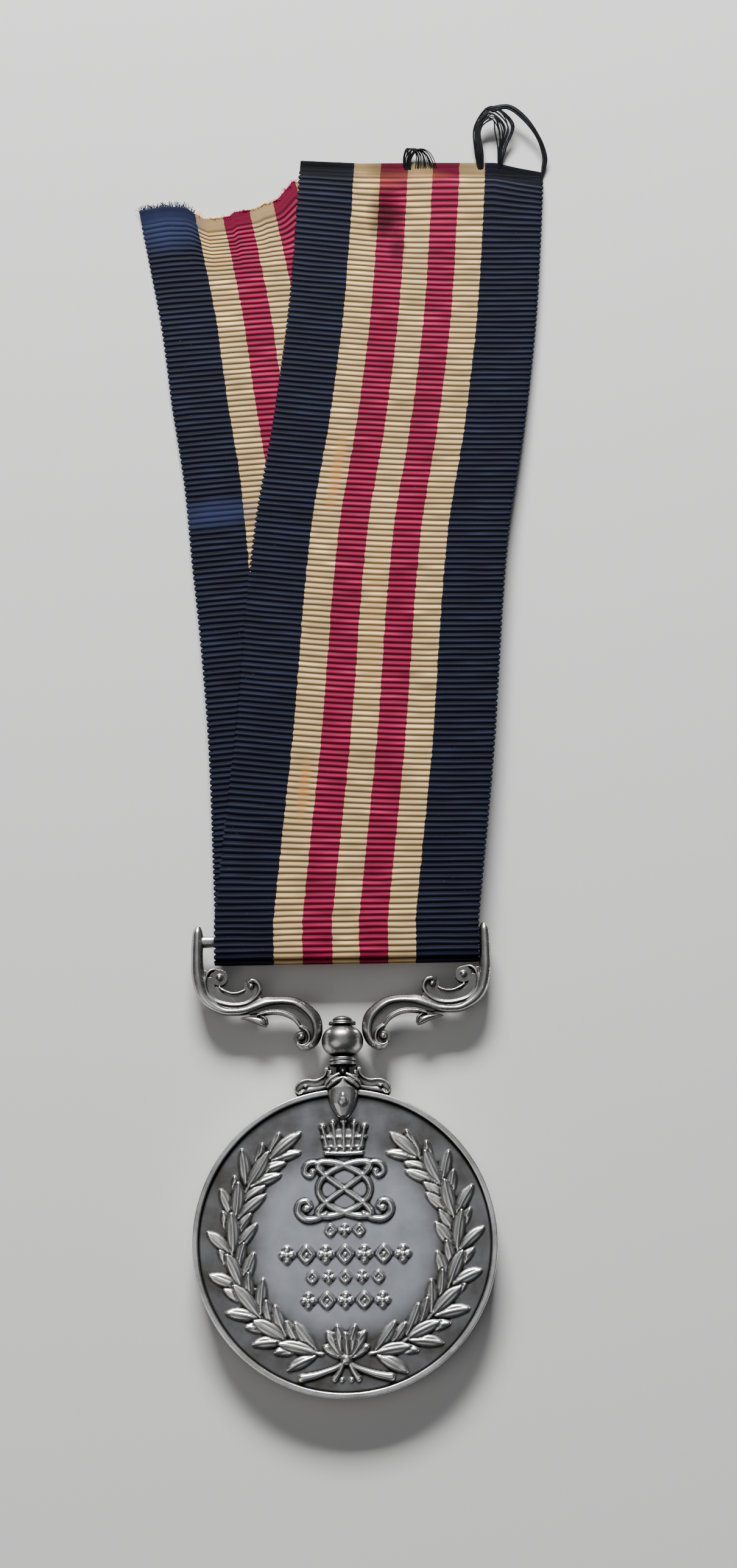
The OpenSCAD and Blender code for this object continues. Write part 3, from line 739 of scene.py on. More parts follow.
def build_claw(material):
    """The claw: a teardrop toe on each face under folded leaves, two horns, and wings that curl on the
    rim."""
    cast = Shell()
    top = DISC_R
    toe_half = MID_Z + 0.74
    toe = spline([(0, top + 1.1, 0.15), (0, top + 0.9, 0.45), (0, top + 0.5, 1.1), (0, top + 0.1, 1.75),
                  (0, top - 0.3, 1.92), (0, top - 0.7, 1.94), (0, top - 1.2, 1.84), (0, top - 1.9, 1.62),
                  (0, top - 2.4, 1.38), (0, top - 3.0, 1.0), (0, top - 3.3, 0.72), (0, top - 3.52, 0.42),
                  (0, top - 3.62, 0.08)], 6)
    swell = np.interp(toe[:, 1], [top - 3.62, top - 3.2, top - 1.8, top + 0.2, top + 1.1],
                      [0.74, 0.88, 1.0, 0.97, 0.9])
    angles = np.arange(32) * TAU / 32

    def squared(across, up):
        return [(math.copysign(abs(math.cos(a)) ** across, math.cos(a)),
                 math.copysign(abs(math.sin(a)) ** up, math.sin(a)))
                for a in angles]

    def limb(points, half, section):
        path = spline(points, 8)
        cast.sweep(in_middle(path, path[:, 2], half), lambda i, n: section)

    cast.sweep(in_middle(toe, toe[:, 2], toe_half * swell), lambda i, n: squared(0.8, 0.5))
    limb([(0, top + 3.0, 0.55), (0, top + 2.2, 0.6), (0, top + 1.5, 0.95), (0, top + 0.8, 1.3)], 1.0,
         squared(0.9, 0.8))
    for side in (-1, 1):
        def at(points):
            return [(side * p[0], top + p[1], *p[2:]) for p in points]

        limb(at([(1.95, 2.75, 0.2), (1.8, 2.3, 0.36), (1.75, 1.65, 0.55), (2.3, 1.0, 0.6),
                 (3.2, 0.66, 0.48),
                 (4.3, 0.74, 0.48), (5.1, 0.48, 0.46), (5.45, 0.0, 0.34), (5.35, -0.4, 0.18)]), 0.82,
                 squared(0.8, 0.6))
        limb(at([(1.6, 0.3, 0.5), (3.2, 0.1, 0.5), (4.6, -0.15, 0.45), (5.3, -0.5, 0.3)]), 0.8,
             squared(0.8, 0.6))
        cast.tube(at([(2.05, 2.6), (2.0, 2.1), (2.4, 1.5), (3.3, 1.14), (4.3, 1.2), (5.1, 0.95),
                      (5.6, 0.4), (5.65, -0.1),
                      (5.3, -0.48), (4.85, -0.35)]), 0.17, 0.76, 1.7)
        cast.ball((side * 1.86, top + 2.4, MID_Z), (0.34, 0.55, 1.05))
        cast.ball((side * 4.5, top + 0.42, MID_Z), (0.42, 0.32, 1.12))
        cast.tube(at([(0.0, 1.34), (0.5, 1.14), (1.2, 0.72), (1.9, 0.12)]), [0.2, 0.28, 0.3, 0.16],
                  toe_half - 0.5, 1.4)
        cast.tube(at([(0.35, 1.85), (1.0, 1.5), (1.7, 1.0), (2.1, 0.45)]), [0.22, 0.32, 0.32, 0.16],
                  toe_half - 0.85, 1.5)
        cast.tube(at([(1.5, 2.3), (1.5, 1.9), (1.75, 1.45)]), [0.2, 0.3, 0.22], 0.95, 1.2)
    cast.tube([(0, top + 2.75), (0, top + 2.2), (0, top + 1.7)], [0.1, 0.24, 0.12], 0.95, 1.2)
    claw = cast.fuse("claw_cast", 0.06, 1)
    finish_piece(claw, material, "medal", "suspender_silver", "claw")
    rivet = Shell()
    for face in (1, -1):
        rivet.ball((0, top - 1.45, MID_Z + face * (toe_half - 0.06)), (0.66, 0.74, 0.48), 18, 32)
        rivet.ball((0, top - 1.05, MID_Z + face * (toe_half - 0.06)), (0.42, 0.62, 0.42), 18, 32)
    pin = rivet.fuse("claw_rivet", 0.045, 3)
    finish_piece(pin, material, "medal", "suspender_silver", "claw_pin")


def build_swivel(material):
    """Turned pieces on the post: two collars, the ball and the cap that holds it."""
    def ring(name, node, radius):
        low, high = box_mm(node)
        half = (high[1] - low[1]) / 2
        corners = [(POST_R, -half), (radius, -half), (radius, half), (POST_R, half)]
        outline = rounded(corners, half * 0.85, 6)
        outline.append(outline[0])
        piece = lathe(name, outline, (0, (low[1] + high[1]) / 2, MID_Z), "y", 96)
        finish_piece(piece, material, "medal", "suspender_silver", node)

    ring("collar_lower", "lower_ring", 1.62)
    ring("collar_upper", "upper_ring", 1.66)
    half = (ball_high[1] - ball_low[1]) / 2
    bore = BALL_BORE_R
    arc = [math.radians(a) for a in np.linspace(-76, 76, 40)]
    outline = [(bore, -half), (bore + 0.25, -half)]
    outline += [(BALL_R * math.cos(a) ** 0.82,
                 half * math.copysign(abs(math.sin(a)) ** 0.95, math.sin(a)) * 1.02)
                for a in arc]
    outline += [(bore + 0.25, half), (bore, half), (bore, -half)]
    piece = lathe("ball_turned", outline, (0, BALL_Y, MID_Z), "y", 144)
    finish_piece(piece, material, "suspender", "suspender_silver", "swivel_ball")
    low, high = box_mm("post_cap")
    height = high[1] - low[1]
    outline = [(0.0, 0.0), (1.5, 0.0), (1.62, 0.1), (1.62, 0.3), (1.5, 0.4), (1.12, 0.4), (1.05, 0.45),
               (1.16, 0.54),
               (1.16, 0.7), (0.92, height * 0.8), (0.45, height * 0.95), (0.0, height)]
    piece = lathe("cap_turned", spline(outline, 5), (0, low[1], MID_Z), "y", 96)
    finish_piece(piece, material, "medal", "suspender_silver", "post_cap")
    low, high = box_mm("swivel_post")
    outline = rounded([(0, low[1]), (POST_R, low[1]), (POST_R, high[1]), (0, high[1])], 0.08)
    piece = lathe("post_turned", outline, (0, 0, MID_Z), "y", 64)
    finish_piece(piece, material, "medal", "suspender_silver", "swivel_post")
    outline = rounded([(0, bar_low[0]), (BAR_R, bar_low[0]), (BAR_R, bar_high[0]), (0, bar_high[0])], 0.1)
    piece = lathe("bar_turned", outline, (0, BAR_Y, MID_Z), "x", 64)
    finish_piece(piece, material, "suspender", "suspender_silver", "ribbon_bar")


# ---- the scroll arms ----

# Profiles across a scroll, from one edge to the other: (place, height) pairs
ROUND_TOP = [(-1, 0), (-0.98, 0.42), (-0.84, 0.68), (-0.6, 0.86), (-0.22, 0.98), (0, 1.0), (0.22, 0.98),
             (0.6, 0.86),
             (0.84, 0.68), (0.98, 0.42), (1, 0)]
ROOF_TOP = [(-1, 0), (-0.97, 0.4), (-0.75, 0.56), (-0.4, 0.72), (-0.05, 0.88), (0.2, 0.97), (0.42, 1.0),
            (0.66, 0.92),
            (0.85, 0.7), (0.97, 0.35), (1, 0)]
FLAT_TOP = [(-1, 0), (-1, 0.85), (-0.92, 1.0), (0.92, 1.0), (1, 0.85), (1, 0)]
FLOOR_H = 0.58


def profile(shape, other=None, share=0.0):
    """A closed cross-section, the same on both faces, blended from one profile to another."""
    a = np.array(shape, float)
    if other is not None:
        a = a * (1 - share) + np.array(other, float) * share
    below = a[1:-1][::-1] * (1, -1)
    return np.concatenate([a, below])


def arm_cast(side):
    """One scroll arm: a thin web with ridges, lips, curls and bosses on it, the same on both faces.
    It is drawn for the right-hand side and measured from the ball's centre."""
    cast = Shell()

    def place(points):
        return [(side * p[0], BALL_Y + p[1], *p[2:]) for p in points]

    def flipped(section):
        return section if side > 0 else np.asarray(section) * (-1, 1)

    def web(points):
        path = spline(place(points), 6)
        cast.sweep(in_middle(path, path[:, 2], FLOOR_H), lambda i, n: profile(FLAT_TOP))

    def ridge(points, radius, top, lift=1.9):
        """A bead on each face whose crest stands top above the middle."""
        thick = max(np.ravel(radius)) * lift
        cast.tube(place(points), radius, top - thick, lift)

    # Webs: the crescent in the corner, the gap beside the stem, and the inside of the S
    web([(16.1, 7.9, 0.35), (15.9, 7.0, 0.5), (15.5, 6.2, 0.55), (14.8, 5.6, 0.6), (13.7, 5.2, 0.66),
         (12.6, 5.15, 0.68),
         (11.5, 5.4, 0.66), (10.7, 5.95, 0.55), (10.35, 6.6, 0.45)])
    web([(16.5, 8.8, 0.25), (16.75, 7.6, 0.3), (16.45, 6.2, 0.3), (15.6, 4.95, 0.3), (14.3, 4.25, 0.3),
         (13.03, 4.08, 0.3),
         (11.5, 4.28, 0.3), (10.3, 4.95, 0.25), (9.8, 5.6, 0.12)])
    web([(11.2, 3.55, 0.2), (10.2, 3.85, 0.4), (9.1, 4.15, 0.6), (8.0, 4.3, 0.72), (6.9, 4.2, 0.78),
         (5.8, 3.75, 0.85),
         (4.9, 3.0, 0.85), (4.35, 2.1, 0.8), (4.15, 1.2, 0.7), (4.2, 0.4, 0.6)])
    stem = [
        (17.35, 14.18, 0.3, 0.62), (17.38, 13.75, 0.52, 0.85), (17.42, 13.2, 0.64, 1.0),
        (17.46, 11.9, 0.7, 1.06),
        (17.47, 10.2, 0.72, 1.08), (17.42, 8.6, 0.76, 1.08), (17.15, 7.0, 0.74, 1.06),
        (16.72, 5.75, 0.64, 1.04),
        (15.85, 4.7, 0.55, 1.02), (14.4, 3.87, 0.45, 1.0), (13.03, 3.72, 0.42, 1.0),
        (11.71, 3.86, 0.46, 1.02),
        (10.37, 4.38, 0.55, 1.05), (9.14, 4.88, 0.64, 1.08), (8.04, 5.0, 0.56, 1.1), (6.82, 5.0, 0.54, 1.1),
        (5.45, 4.72, 0.55, 1.1), (4.2, 3.9, 0.62, 1.1), (3.25, 2.8, 0.68, 1.1), (2.95, 1.5, 0.6, 1.08),
        (3.1, 0.5, 0.52, 1.04), (3.55, -0.3, 0.42, 1.0), (4.25, -0.75, 0.32, 0.95),
        (4.95, -0.75, 0.22, 0.9),
        (5.4, -0.4, 0.15, 0.85)]
    path = spline(place(stem), 8)
    cast.sweep(in_middle(path, path[:, 2], path[:, 3]), lambda i,
               n: flipped(profile(ROUND_TOP, ROOF_TOP, min(max((i / n - 0.44) / 0.12, 0), 1))))
    for centre, radius in (((14.73, 7.86), 1.0), ((11.0, 6.75), 0.86), ((4.85, 0.4), 1.0)):
        cast.disc(place([centre])[0], radius, FLOOR_H)
    ridge([(14.9, 8.85), (15.5, 8.88), (16.05, 8.6), (16.42, 7.85), (16.47, 6.95), (16.17, 5.98),
           (15.33, 5.08),
           (14.13, 4.64), (12.81, 4.46), (11.48, 4.68), (10.48, 5.33), (9.93, 6.2), (9.97, 6.9),
           (10.4, 7.35),
           (11.0, 7.42), (11.35, 7.1)], [0.12, 0.2, 0.24, 0.24, 0.24, 0.24, 0.24, 0.24, 0.24, 0.25, 0.3,
                                         0.34, 0.36, 0.22], 1.02)
    ridge([(14.85, 6.75), (14.5, 6.45), (14.13, 6.25), (13.36, 5.95), (12.59, 5.95), (12.0, 6.15),
           (11.7, 6.3)],
          [0.13, 0.17, 0.17, 0.17, 0.14], 0.86)
    ridge([(10.3, 3.2), (9.15, 3.5), (8.05, 3.58), (6.94, 3.38), (5.9, 2.85), (5.3, 2.2), (5.05, 1.7)],
          [0.1, 0.2, 0.22, 0.22, 0.22, 0.2, 0.16], 0.94)
    ridge([(5.0, 1.75), (4.6, 1.5), (4.14, 1.05), (3.98, 0.3), (4.25, -0.3), (4.85, -0.55), (5.45, -0.3)],
          0.2, 0.94)
    for centre, radius, top in (((14.73, 7.86), 0.5, 1.02), ((10.95, 6.75), 0.48, 1.06),
                                ((4.92, 0.5), 0.56, 1.18)):
        cast.ball((*place([centre])[0], MID_Z), (radius, radius, top))
    leaf = place([(12.25, 2.93, 0.04), (11.8, 2.92, 0.14), (11.2, 2.86, 0.24), (10.5, 2.72, 0.36),
                  (9.8, 2.45, 0.42),
                  (9.3, 2.1, 0.3), (9.1, 1.85, 0.1)])
    path = spline(leaf, 8)
    cast.sweep(in_middle(path, path[:, 2], 0.3 + path[:, 2] * 1.3), lambda i, n: profile(ROUND_TOP))
    ridge([(10.2, 3.2), (9.6, 3.05), (9.15, 2.7), (8.95, 2.15)], [0.1, 0.2, 0.22, 0.1], 0.7)
    return cast


def build_arms(material):
    for side, node in ((-1, "left_scroll"), (1, "right_scroll")):
        arm = arm_cast(side).fuse(node + "_cast", 0.065, 1)
        height = np.array([abs(v.co[2] / MM - MID_Z) for v in arm.data.vertices], np.float32)
        # Marks the low webs between the ridges, which the material darkens as painted shade.
        add_attribute(arm, "low", np.clip((FLOOR_H + 0.14 - height) / 0.12, 0, 1))
        finish_piece(arm, material, "suspender", "suspender_silver", node)


# ---- the ribbon ----

RIB_PITCH = 0.745
RIB_SAMPLES = 6
RIB_HEIGHT = 0.12
RIB_COLUMNS = 49
# How far from the cut end its unevenness reaches, and from the crease until the ribs lean in full
CUT_REACH = 12
LEAN_REACH = 19
# How far round from square the back leg's ribs end up, in radians, and the front leg's
BACK_TURN = -0.1
FRONT_TURN = 0.0588
# Where the stripes change, as shares of the width from the left edge
STRIPE_EDGES = [0.222, 0.329, 0.445, 0.543, 0.655, 0.758]


def leg_centres(node):
    """The middle of a CAD leg in plan, from its own outline: rows of x, y."""
    points = np.array([v.co[:2] for v in frame["nodes"][node].data.vertices]) / MM
    points = points[points[:, 1] > CREASE_Y - 0.01]
    points = points[np.argsort(points[:, 1])]
    groups, start = [], 0
    for k in range(1, len(points) + 1):
        if k == len(points) or points[k, 1] - points[start, 1] > 0.06:
            groups.append(points[start:k])
            start = k
    paired = [g for g in groups if np.ptp(g[:, 0]) > RIBBON_HW]
    ends = [g for g in groups if np.ptp(g[:, 0]) <= RIBBON_HW][-2:]
    centres = [(g[:, 0].min() / 2 + g[:, 0].max() / 2, g[:, 1].mean()) for g in paired]
    centres.append(tuple((ends[0].mean(axis=0) + ends[1].mean(axis=0)) / 2))
    return np.array(centres)


def leg_path(node, upper):
    """The ribbon's middle line as rows of x, y, z: from under the bar, round the loop if upper, and up the
    leg."""
    centres = leg_centres(node)
    low, high = box_mm(node)
    side = 1 if upper else -1
    root_z = MID_Z + side * LOOP_R
    tip_z = low[2] + CLOTH_T / 2
    rows = []
    if upper:
        for y in np.linspace(BAR_Y + 0.8, LOOP_Y, 6, endpoint=False):
            rows.append((RIBBON_X, y, MID_Z - LOOP_R))
        for a in np.linspace(-90, -270, 24, endpoint=False):
            rows.append((RIBBON_X, LOOP_Y + LOOP_R * math.cos(math.radians(a)),
                         MID_Z + LOOP_R * math.sin(math.radians(a))))
        for y in np.linspace(LOOP_Y, CREASE_Y, 6, endpoint=False):
            rows.append((RIBBON_X, y, root_z))
    else:
        for y in np.linspace(BAR_Y + 0.8, CREASE_Y, 6, endpoint=False):
            rows.append((RIBBON_X, y, root_z))
    leg = spline(centres, 10)
    share = (leg[:, 1] - CREASE_Y) / (leg[-1, 1] - CREASE_Y)
    z = root_z + (tip_z - root_z) * share
    rows += list(zip(leg[:, 0], leg[:, 1], z))
    return np.array(rows)


def smooth_random(chance, count, rows, across):
    """Slow random values on a rows by across grid, about -1 to 1."""
    coarse = chance.normal(size=(max(rows // count[0], 2) + 2, max(across // count[1], 2) + 2)) * 0.6
    i = np.linspace(0, coarse.shape[0] - 1.001, rows)
    j = np.linspace(0, coarse.shape[1] - 1.001, across)
    a, b = i.astype(int), j.astype(int)
    u, v = ease(i - a)[:, None], ease(j - b)[None, :]
    top = coarse[a][:, b] * (1 - v) + coarse[a][:, b + 1] * v
    low = coarse[a + 1][:, b] * (1 - v) + coarse[a + 1][:, b + 1] * v
    return top * (1 - u) + low * u


def ease(x):
    """0 to 1 with a soft start and end."""
    x = np.clip(x, 0, 1)
    return x * x * (3 - 2 * x)


def crease_distance(middle):
    """How far along a middle line, in millimetres, the leg leaves the crease."""
    step = np.linalg.norm(np.diff(middle, axis=0), axis=1)
    leg = np.argmin(np.hypot(middle[:, 1] - CREASE_Y, np.abs(middle[:, 2] - middle[-1, 2]) * 0.2))
    return step[:leg].sum()


def ribbed_strip(name, middle, seed, turn, lean_ribs, cut, hem, dent):
    """A closed strip of ribbed silk along a middle line. turn is how far the ribs end up leaning, in radians,
    lean_ribs(s, t) bows them along the strip, cut(t) moves the far end, hem is the length of flattened ribs
    there, and dent(s, t) presses the cloth in."""
    chance = np.random.default_rng(seed)
    step = np.linalg.norm(np.diff(middle, axis=0), axis=1)
    s_known = np.concatenate([[0], np.cumsum(step)])
    length = s_known[-1]
    ribs = int(length / RIB_PITCH)
    pitch = length / ribs
    rows = ribs * RIB_SAMPLES + 1
    edge = np.array([0.985, 0.995, 1.0])
    t = np.concatenate([-edge[::-1], np.linspace(-0.965, 0.965, RIB_COLUMNS), edge])
    cols = len(t)
    s_row = np.linspace(0, length, rows)[:, None]
    near_end = ease((s_row - (length - CUT_REACH)) / CUT_REACH)
    leg = crease_distance(middle)
    bowed = ease((s_row - leg + 2) / 22) * ease((length - s_row) / 9)
    s = s_row + lean_ribs(s_row, t[None, :]) * bowed
    s = s + near_end * cut(t)[None, :]
    s = s + (0.05 * smooth_random(chance, (RIB_SAMPLES * 2, 6), rows, cols)
             * np.clip((length - s_row) / 3, 0, 1))
    centre = np.stack([np.interp(s, s_known, middle[:, k]) for k in range(3)], axis=-1)
    beyond = np.clip(s - length, 0, None)[..., None]
    end_way = (middle[-1] - middle[-2]) / np.linalg.norm(middle[-1] - middle[-2])
    centre = centre + beyond * end_way
    way = np.gradient(middle, s_known, axis=0)
    lean = turn * ease((s - leg + 1) / LEAN_REACH)
    across = np.stack([np.cos(lean), -np.sin(lean), np.zeros_like(lean)], axis=-1)
    along = np.stack([np.interp(s, s_known, way[:, k]) for k in range(3)], axis=-1)
    along /= np.linalg.norm(along, axis=-1)[..., None]
    normal = np.cross(across, along)
    normal /= np.linalg.norm(normal, axis=-1)[..., None]
    phase = np.linspace(0, ribs, rows)[:, None] * np.ones(cols)[None, :]
    hump = np.abs(np.sin(math.pi * phase)) ** 0.62
    flat_end = ease((length - s_row - hem) / 1.3)
    strong = (0.86 + 0.14 * smooth_random(chance, (RIB_SAMPLES, 4), rows, cols)) * (0.1 + 0.9 * flat_end)
    rib = hump * strong
    # Level for the silk's painted rib shade: dark in the grooves, light on the crests, middling on the flat
    # hem.
    painted_rib_shade = rib * flat_end + 0.57 * (1 - flat_end)
    round_edge = np.sqrt(np.clip(1 - np.abs(t) ** 40, 0, 1))[None, :]
    core = (CLOTH_T / 2 - 0.03 - RIB_HEIGHT / 2) * (0.25 + 0.75 * round_edge)
    thick = core + RIB_HEIGHT * (rib - 0.5) * round_edge
    selvage = np.abs(t[None, :]) ** 16 * (hump - 0.6) * 0.3 * flat_end
    place = centre + across * ((t[None, :] * RIBBON_HW + np.sign(t)[None, :] * selvage)[..., None])
    sway = dent(s, t[None, :])
    upper = place + normal * (thick + sway)[..., None]
    lower = place - normal * (thick - sway)[..., None]
    sunk = np.clip(FLOOR_Z + 0.03 - lower[..., 2], 0, None)
    upper[..., 2] += sunk
    lower[..., 2] += sunk
    ring = np.concatenate([upper, lower[:, ::-1]], axis=1)
    k = ring.shape[1]
    faces = grid_faces(rows, k, close_cols=True)
    for end, base in ((0, 0), (1, (rows - 1) * k)):
        for j in range(cols - 1):
            quad = [base + j, base + j + 1, base + k - 2 - j, base + k - 1 - j]
            faces.append(quad if end else quad[::-1])
    share = (t[None, :] + 1) / 2 * np.ones((rows, 1))
    grids = {"across": share, "rib": painted_rib_shade, "crest": hump * flat_end, "along": length - s}
    doubled = {key: np.concatenate([grid, grid[:, ::-1]], axis=1) for key, grid in grids.items()}
    strip = make_mesh(name, ring.reshape(-1, 3), faces, doubled)
    weld(strip, 0.0005)
    strip["cloth_length"] = float(length)
    return strip


def silk(name, stains, faded, dark_patches):
    """Ribbed silk in navy, cream and crimson, with painted shade in the rib grooves and a painted highlight
    on the crests. stains, faded and dark_patches are lists of soft patches:
    (share across, millimetres from the cut end, half-width share, half-length mm, strength)."""
    material, tree, shader = new_material(name)
    across, rib, along = attribute(tree, "across"), attribute(tree, "rib"), attribute(tree, "along")
    fray = maths(tree, "MULTIPLY", maths(tree, "SUBTRACT", noise(tree, 1500, 2), 0.5), 0.012)
    ramp = node_of(tree, "ShaderNodeValToRGB")
    ramp.color_ramp.interpolation = "CONSTANT"
    navy, cream, crimson = (0.0085, 0.0118, 0.031, 1), (0.85, 0.59, 0.285, 1), (0.37, 0.010, 0.068, 1)
    colours = [navy, cream, crimson, cream, crimson, cream, navy]
    places = [0.0] + STRIPE_EDGES
    ramp.color_ramp.elements.remove(ramp.color_ramp.elements[1])
    for k, (where, colour) in enumerate(zip(places, colours)):
        stop = ramp.color_ramp.elements[0] if k == 0 else ramp.color_ramp.elements.new(where)
        stop.color = colour
    tree.links.new(maths(tree, "ADD", across, fray), ramp.inputs[0])
    # Painted shade and highlight: the stripe colour is darkened in the rib grooves and lightened on the
    # crests.
    rib_shade_ramp = node_of(tree, "ShaderNodeValToRGB")
    set_stops(rib_shade_ramp, [(where, (level, level * 0.97, level * 0.93, 1))
                       for where, level in ((0.0, 0.03), (0.5, 0.22), (0.85, 0.74), (1.0, 1.36))])
    tree.links.new(rib, rib_shade_ramp.inputs[0])
    shade = node_of(tree, "ShaderNodeMix", data_type="RGBA", blend_type="MULTIPLY")
    shade.inputs[0].default_value = 1.0
    tree.links.new(ramp.outputs[0], shade.inputs[6])
    tree.links.new(rib_shade_ramp.outputs[0], shade.inputs[7])
    # Painted highlight: a thin pale line on each rib's crest.
    colour = mix_colour(tree, maths(tree, "MULTIPLY", stretch(tree, attribute(tree, "crest"), 0.9, 1.0),
                                    0.035),
                        shade.outputs[2], (0.62, 0.56, 0.56, 1))

    def patch(spot):
        x, y, wide, long, strength = spot
        dx = maths(tree, "DIVIDE", maths(tree, "SUBTRACT", across, x), wide)
        dy = maths(tree, "DIVIDE", maths(tree, "SUBTRACT", along, y), long)
        far = maths(tree, "ADD", maths(tree, "MULTIPLY", dx, dx), maths(tree, "MULTIPLY", dy, dy))
        ragged = maths(tree, "MULTIPLY", noise(tree, 420, 3), 0.5)
        soft = maths(tree, "SUBTRACT", 1.15, maths(tree, "ADD", far, ragged), True)
        return maths(tree, "MULTIPLY", soft, strength, True)

    for spot in stains:
        colour = mix_colour(tree, patch(spot), colour, (0.42, 0.17, 0.028, 1))
    for spot in faded:
        colour = mix_colour(tree, patch(spot), colour, (0.020, 0.027, 0.070, 1))
    # Near-black patches over the colour.
    for spot in dark_patches:
        colour = mix_colour(tree, patch(spot), colour, (0.0012, 0.001, 0.0014, 1))
    dust = stretch(tree, noise(tree, 5200, 2), 0.72, 0.82)
    colour = mix_colour(tree, maths(tree, "MULTIPLY", dust, 0.16), colour, (0.5, 0.48, 0.46, 1))
    tree.links.new(colour, shader.inputs["Base Color"])
    shader.inputs["Roughness"].default_value = 0.55
    shader.inputs["Specular IOR Level"].default_value = 0.03
    bump(tree, shader, noise(tree, 9000, 2), 0.02, 0.6)
    return material


def build_ribbon():
    """Two strips of the one ribbon: the front strip holds the loop and the top leg, the back strip the
    lower leg."""
    front_path = leg_path("ribbon_front", True)
    back_path = leg_path("ribbon_back", False)

    def front_lean(s, t):
        u = t * RIBBON_HW
        return 0.00195 * u * u

    def back_lean(s, t):
        u = t * RIBBON_HW
        return -0.05 * u - 0.001 * u * u

    front_length = np.linalg.norm(np.diff(front_path, axis=0), axis=1).sum()
    back_length = np.linalg.norm(np.diff(back_path, axis=0), axis=1).sum()

    def front_dent(s, t):
        from_end = np.clip(front_length - s, 0, None)
        curl = -0.75 * np.exp(-from_end / 0.8)
        hollow = -0.5 * np.exp(-((t + 0.25) / 0.28) ** 2 - ((from_end - 7) / 5.5) ** 2)
        wave = 0.10 * np.sin(s / 9.0 + 1.7 * t) * np.clip((s - 16) / 20, 0, 1)
        return curl + hollow + wave

    def back_dent(s, t):
        from_end = np.clip(back_length - s, 0, None)
        curl = 0.35 * np.exp(-from_end / 2.5) * np.clip(-t, 0, 1)
        return curl + 0.04 * np.sin(s / 7.0 + 2 * t) * np.clip((s - 16) / 20, 0, 1)

    def front_cut(t):
        return np.interp(t, [-1, -0.5, 0.1, 0.6, 0.8, 1], [1.05, 1.0, 1.5, 1.85, 1.2, 0.7])

    def back_cut(t):
        known = [-1, -0.8, -0.62, -0.55, -0.49, -0.28, -0.24, -0.06, 0.0, 0.14, 0.29, 0.5, 1]
        moved = [0.0, 0.3, -0.1, -1.2, -2.0, -2.0, -1.5, -1.3, -0.8, -0.3, 2.1, 1.2, 0]
        return np.interp(t, known, moved)

    front_stains = [(0.285, 43, 0.03, 7, 0.5), (0.285, 85, 0.03, 5, 0.5), (0.34, 1.2, 0.12, 2.2, 0.14),
                    (0.5, 0.4, 0.16, 1.2, 0.14), (0.5, 64, 0.05, 16, 0.14)]
    # Near-black patches at the cut end and a few millimetres back from it.
    front_dark_patches = [(0.06, -0.2, 0.22, 2.6, 1.0), (0.36, -0.4, 0.13, 2.2, 0.6), (0.6, -0.9, 0.2, 1.4, 0.45),
                  (0.9, -0.3, 0.16, 1.8, 0.9), (0.36, 6.5, 0.085, 5.0, 0.85), (0.42, 11, 0.045, 3.0, 0.6)]
    back_fading = [(0.08, 2.5, 0.20, 4.5, 0.8), (0.1, 43, 0.24, 2.4, 0.7)]
    front_silk = silk("silk_front", front_stains, [], front_dark_patches)
    back_silk = silk("silk_back", [(0.28, 6, 0.05, 5, 0.15)], back_fading, [])
    front = ribbed_strip("ribbon_front_strip", front_path, 3, FRONT_TURN, front_lean, front_cut, 1.2,
                         front_dent)
    back = ribbed_strip("ribbon_back_strip", back_path, 5, BACK_TURN, back_lean, back_cut, 1.5, back_dent)
    for strip, material in ((front, front_silk), (back, back_silk)):
        strip.data.materials.append(material)
    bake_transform(front)
    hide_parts("ribbon_fold", "ribbon_front")
    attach(back, "ribbon")
    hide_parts("ribbon_back")
    return front_path, back_path, back_cut, back_silk


# ---- loose threads ----

def thread_material(name, colour):
    material, tree, shader = new_material(name)
    mixed = mix_colour(tree, stretch(tree, noise(tree, 900, 2), 0.35, 0.7), colour, tuple(
        min(1.0, 2.2 * c + 0.004) for c in colour[:3]) + (1,))
    tree.links.new(mixed, shader.inputs["Base Color"])
    shader.inputs["Roughness"].default_value = 0.6
    shader.inputs["Specular IOR Level"].default_value = 0.15
    bump(tree, shader, noise(tree, 14000, 2), 0.02, 0.8)
    return material


def strands(name, routes, sides=6):
    """Many fine tubes in one piece: routes hold (points, radius) pairs."""
    points, faces = [], []
    circle = np.arange(sides) * TAU / sides
    for route, radius in routes:
        path = spline(route, 7)
        n = len(path)
        along = np.gradient(path, axis=0)
        along /= np.linalg.norm(along, axis=1)[:, None]
        side = np.cross(along, (0.1, 0.05, 1.0))
        side /= np.linalg.norm(side, axis=1)[:, None]
        up = np.cross(along, side)
        size = radius * (1 - 0.5 * np.linspace(0, 1, n) ** 6)
        ring = (path[:, None, :] + size[:, None, None] * (
            np.cos(circle)[None, :, None] * side[:, None, :]
            + np.sin(circle)[None, :, None] * up[:, None, :]))
        start = len(points)
        points += ring.reshape(-1, 3).tolist()
        faces += grid_faces(n, sides, close_cols=True, start=start)
        faces.append([start + k for k in range(sides)][::-1])
        faces.append([start + (n - 1) * sides + k for k in range(sides)])
    return make_mesh(name, points, faces)


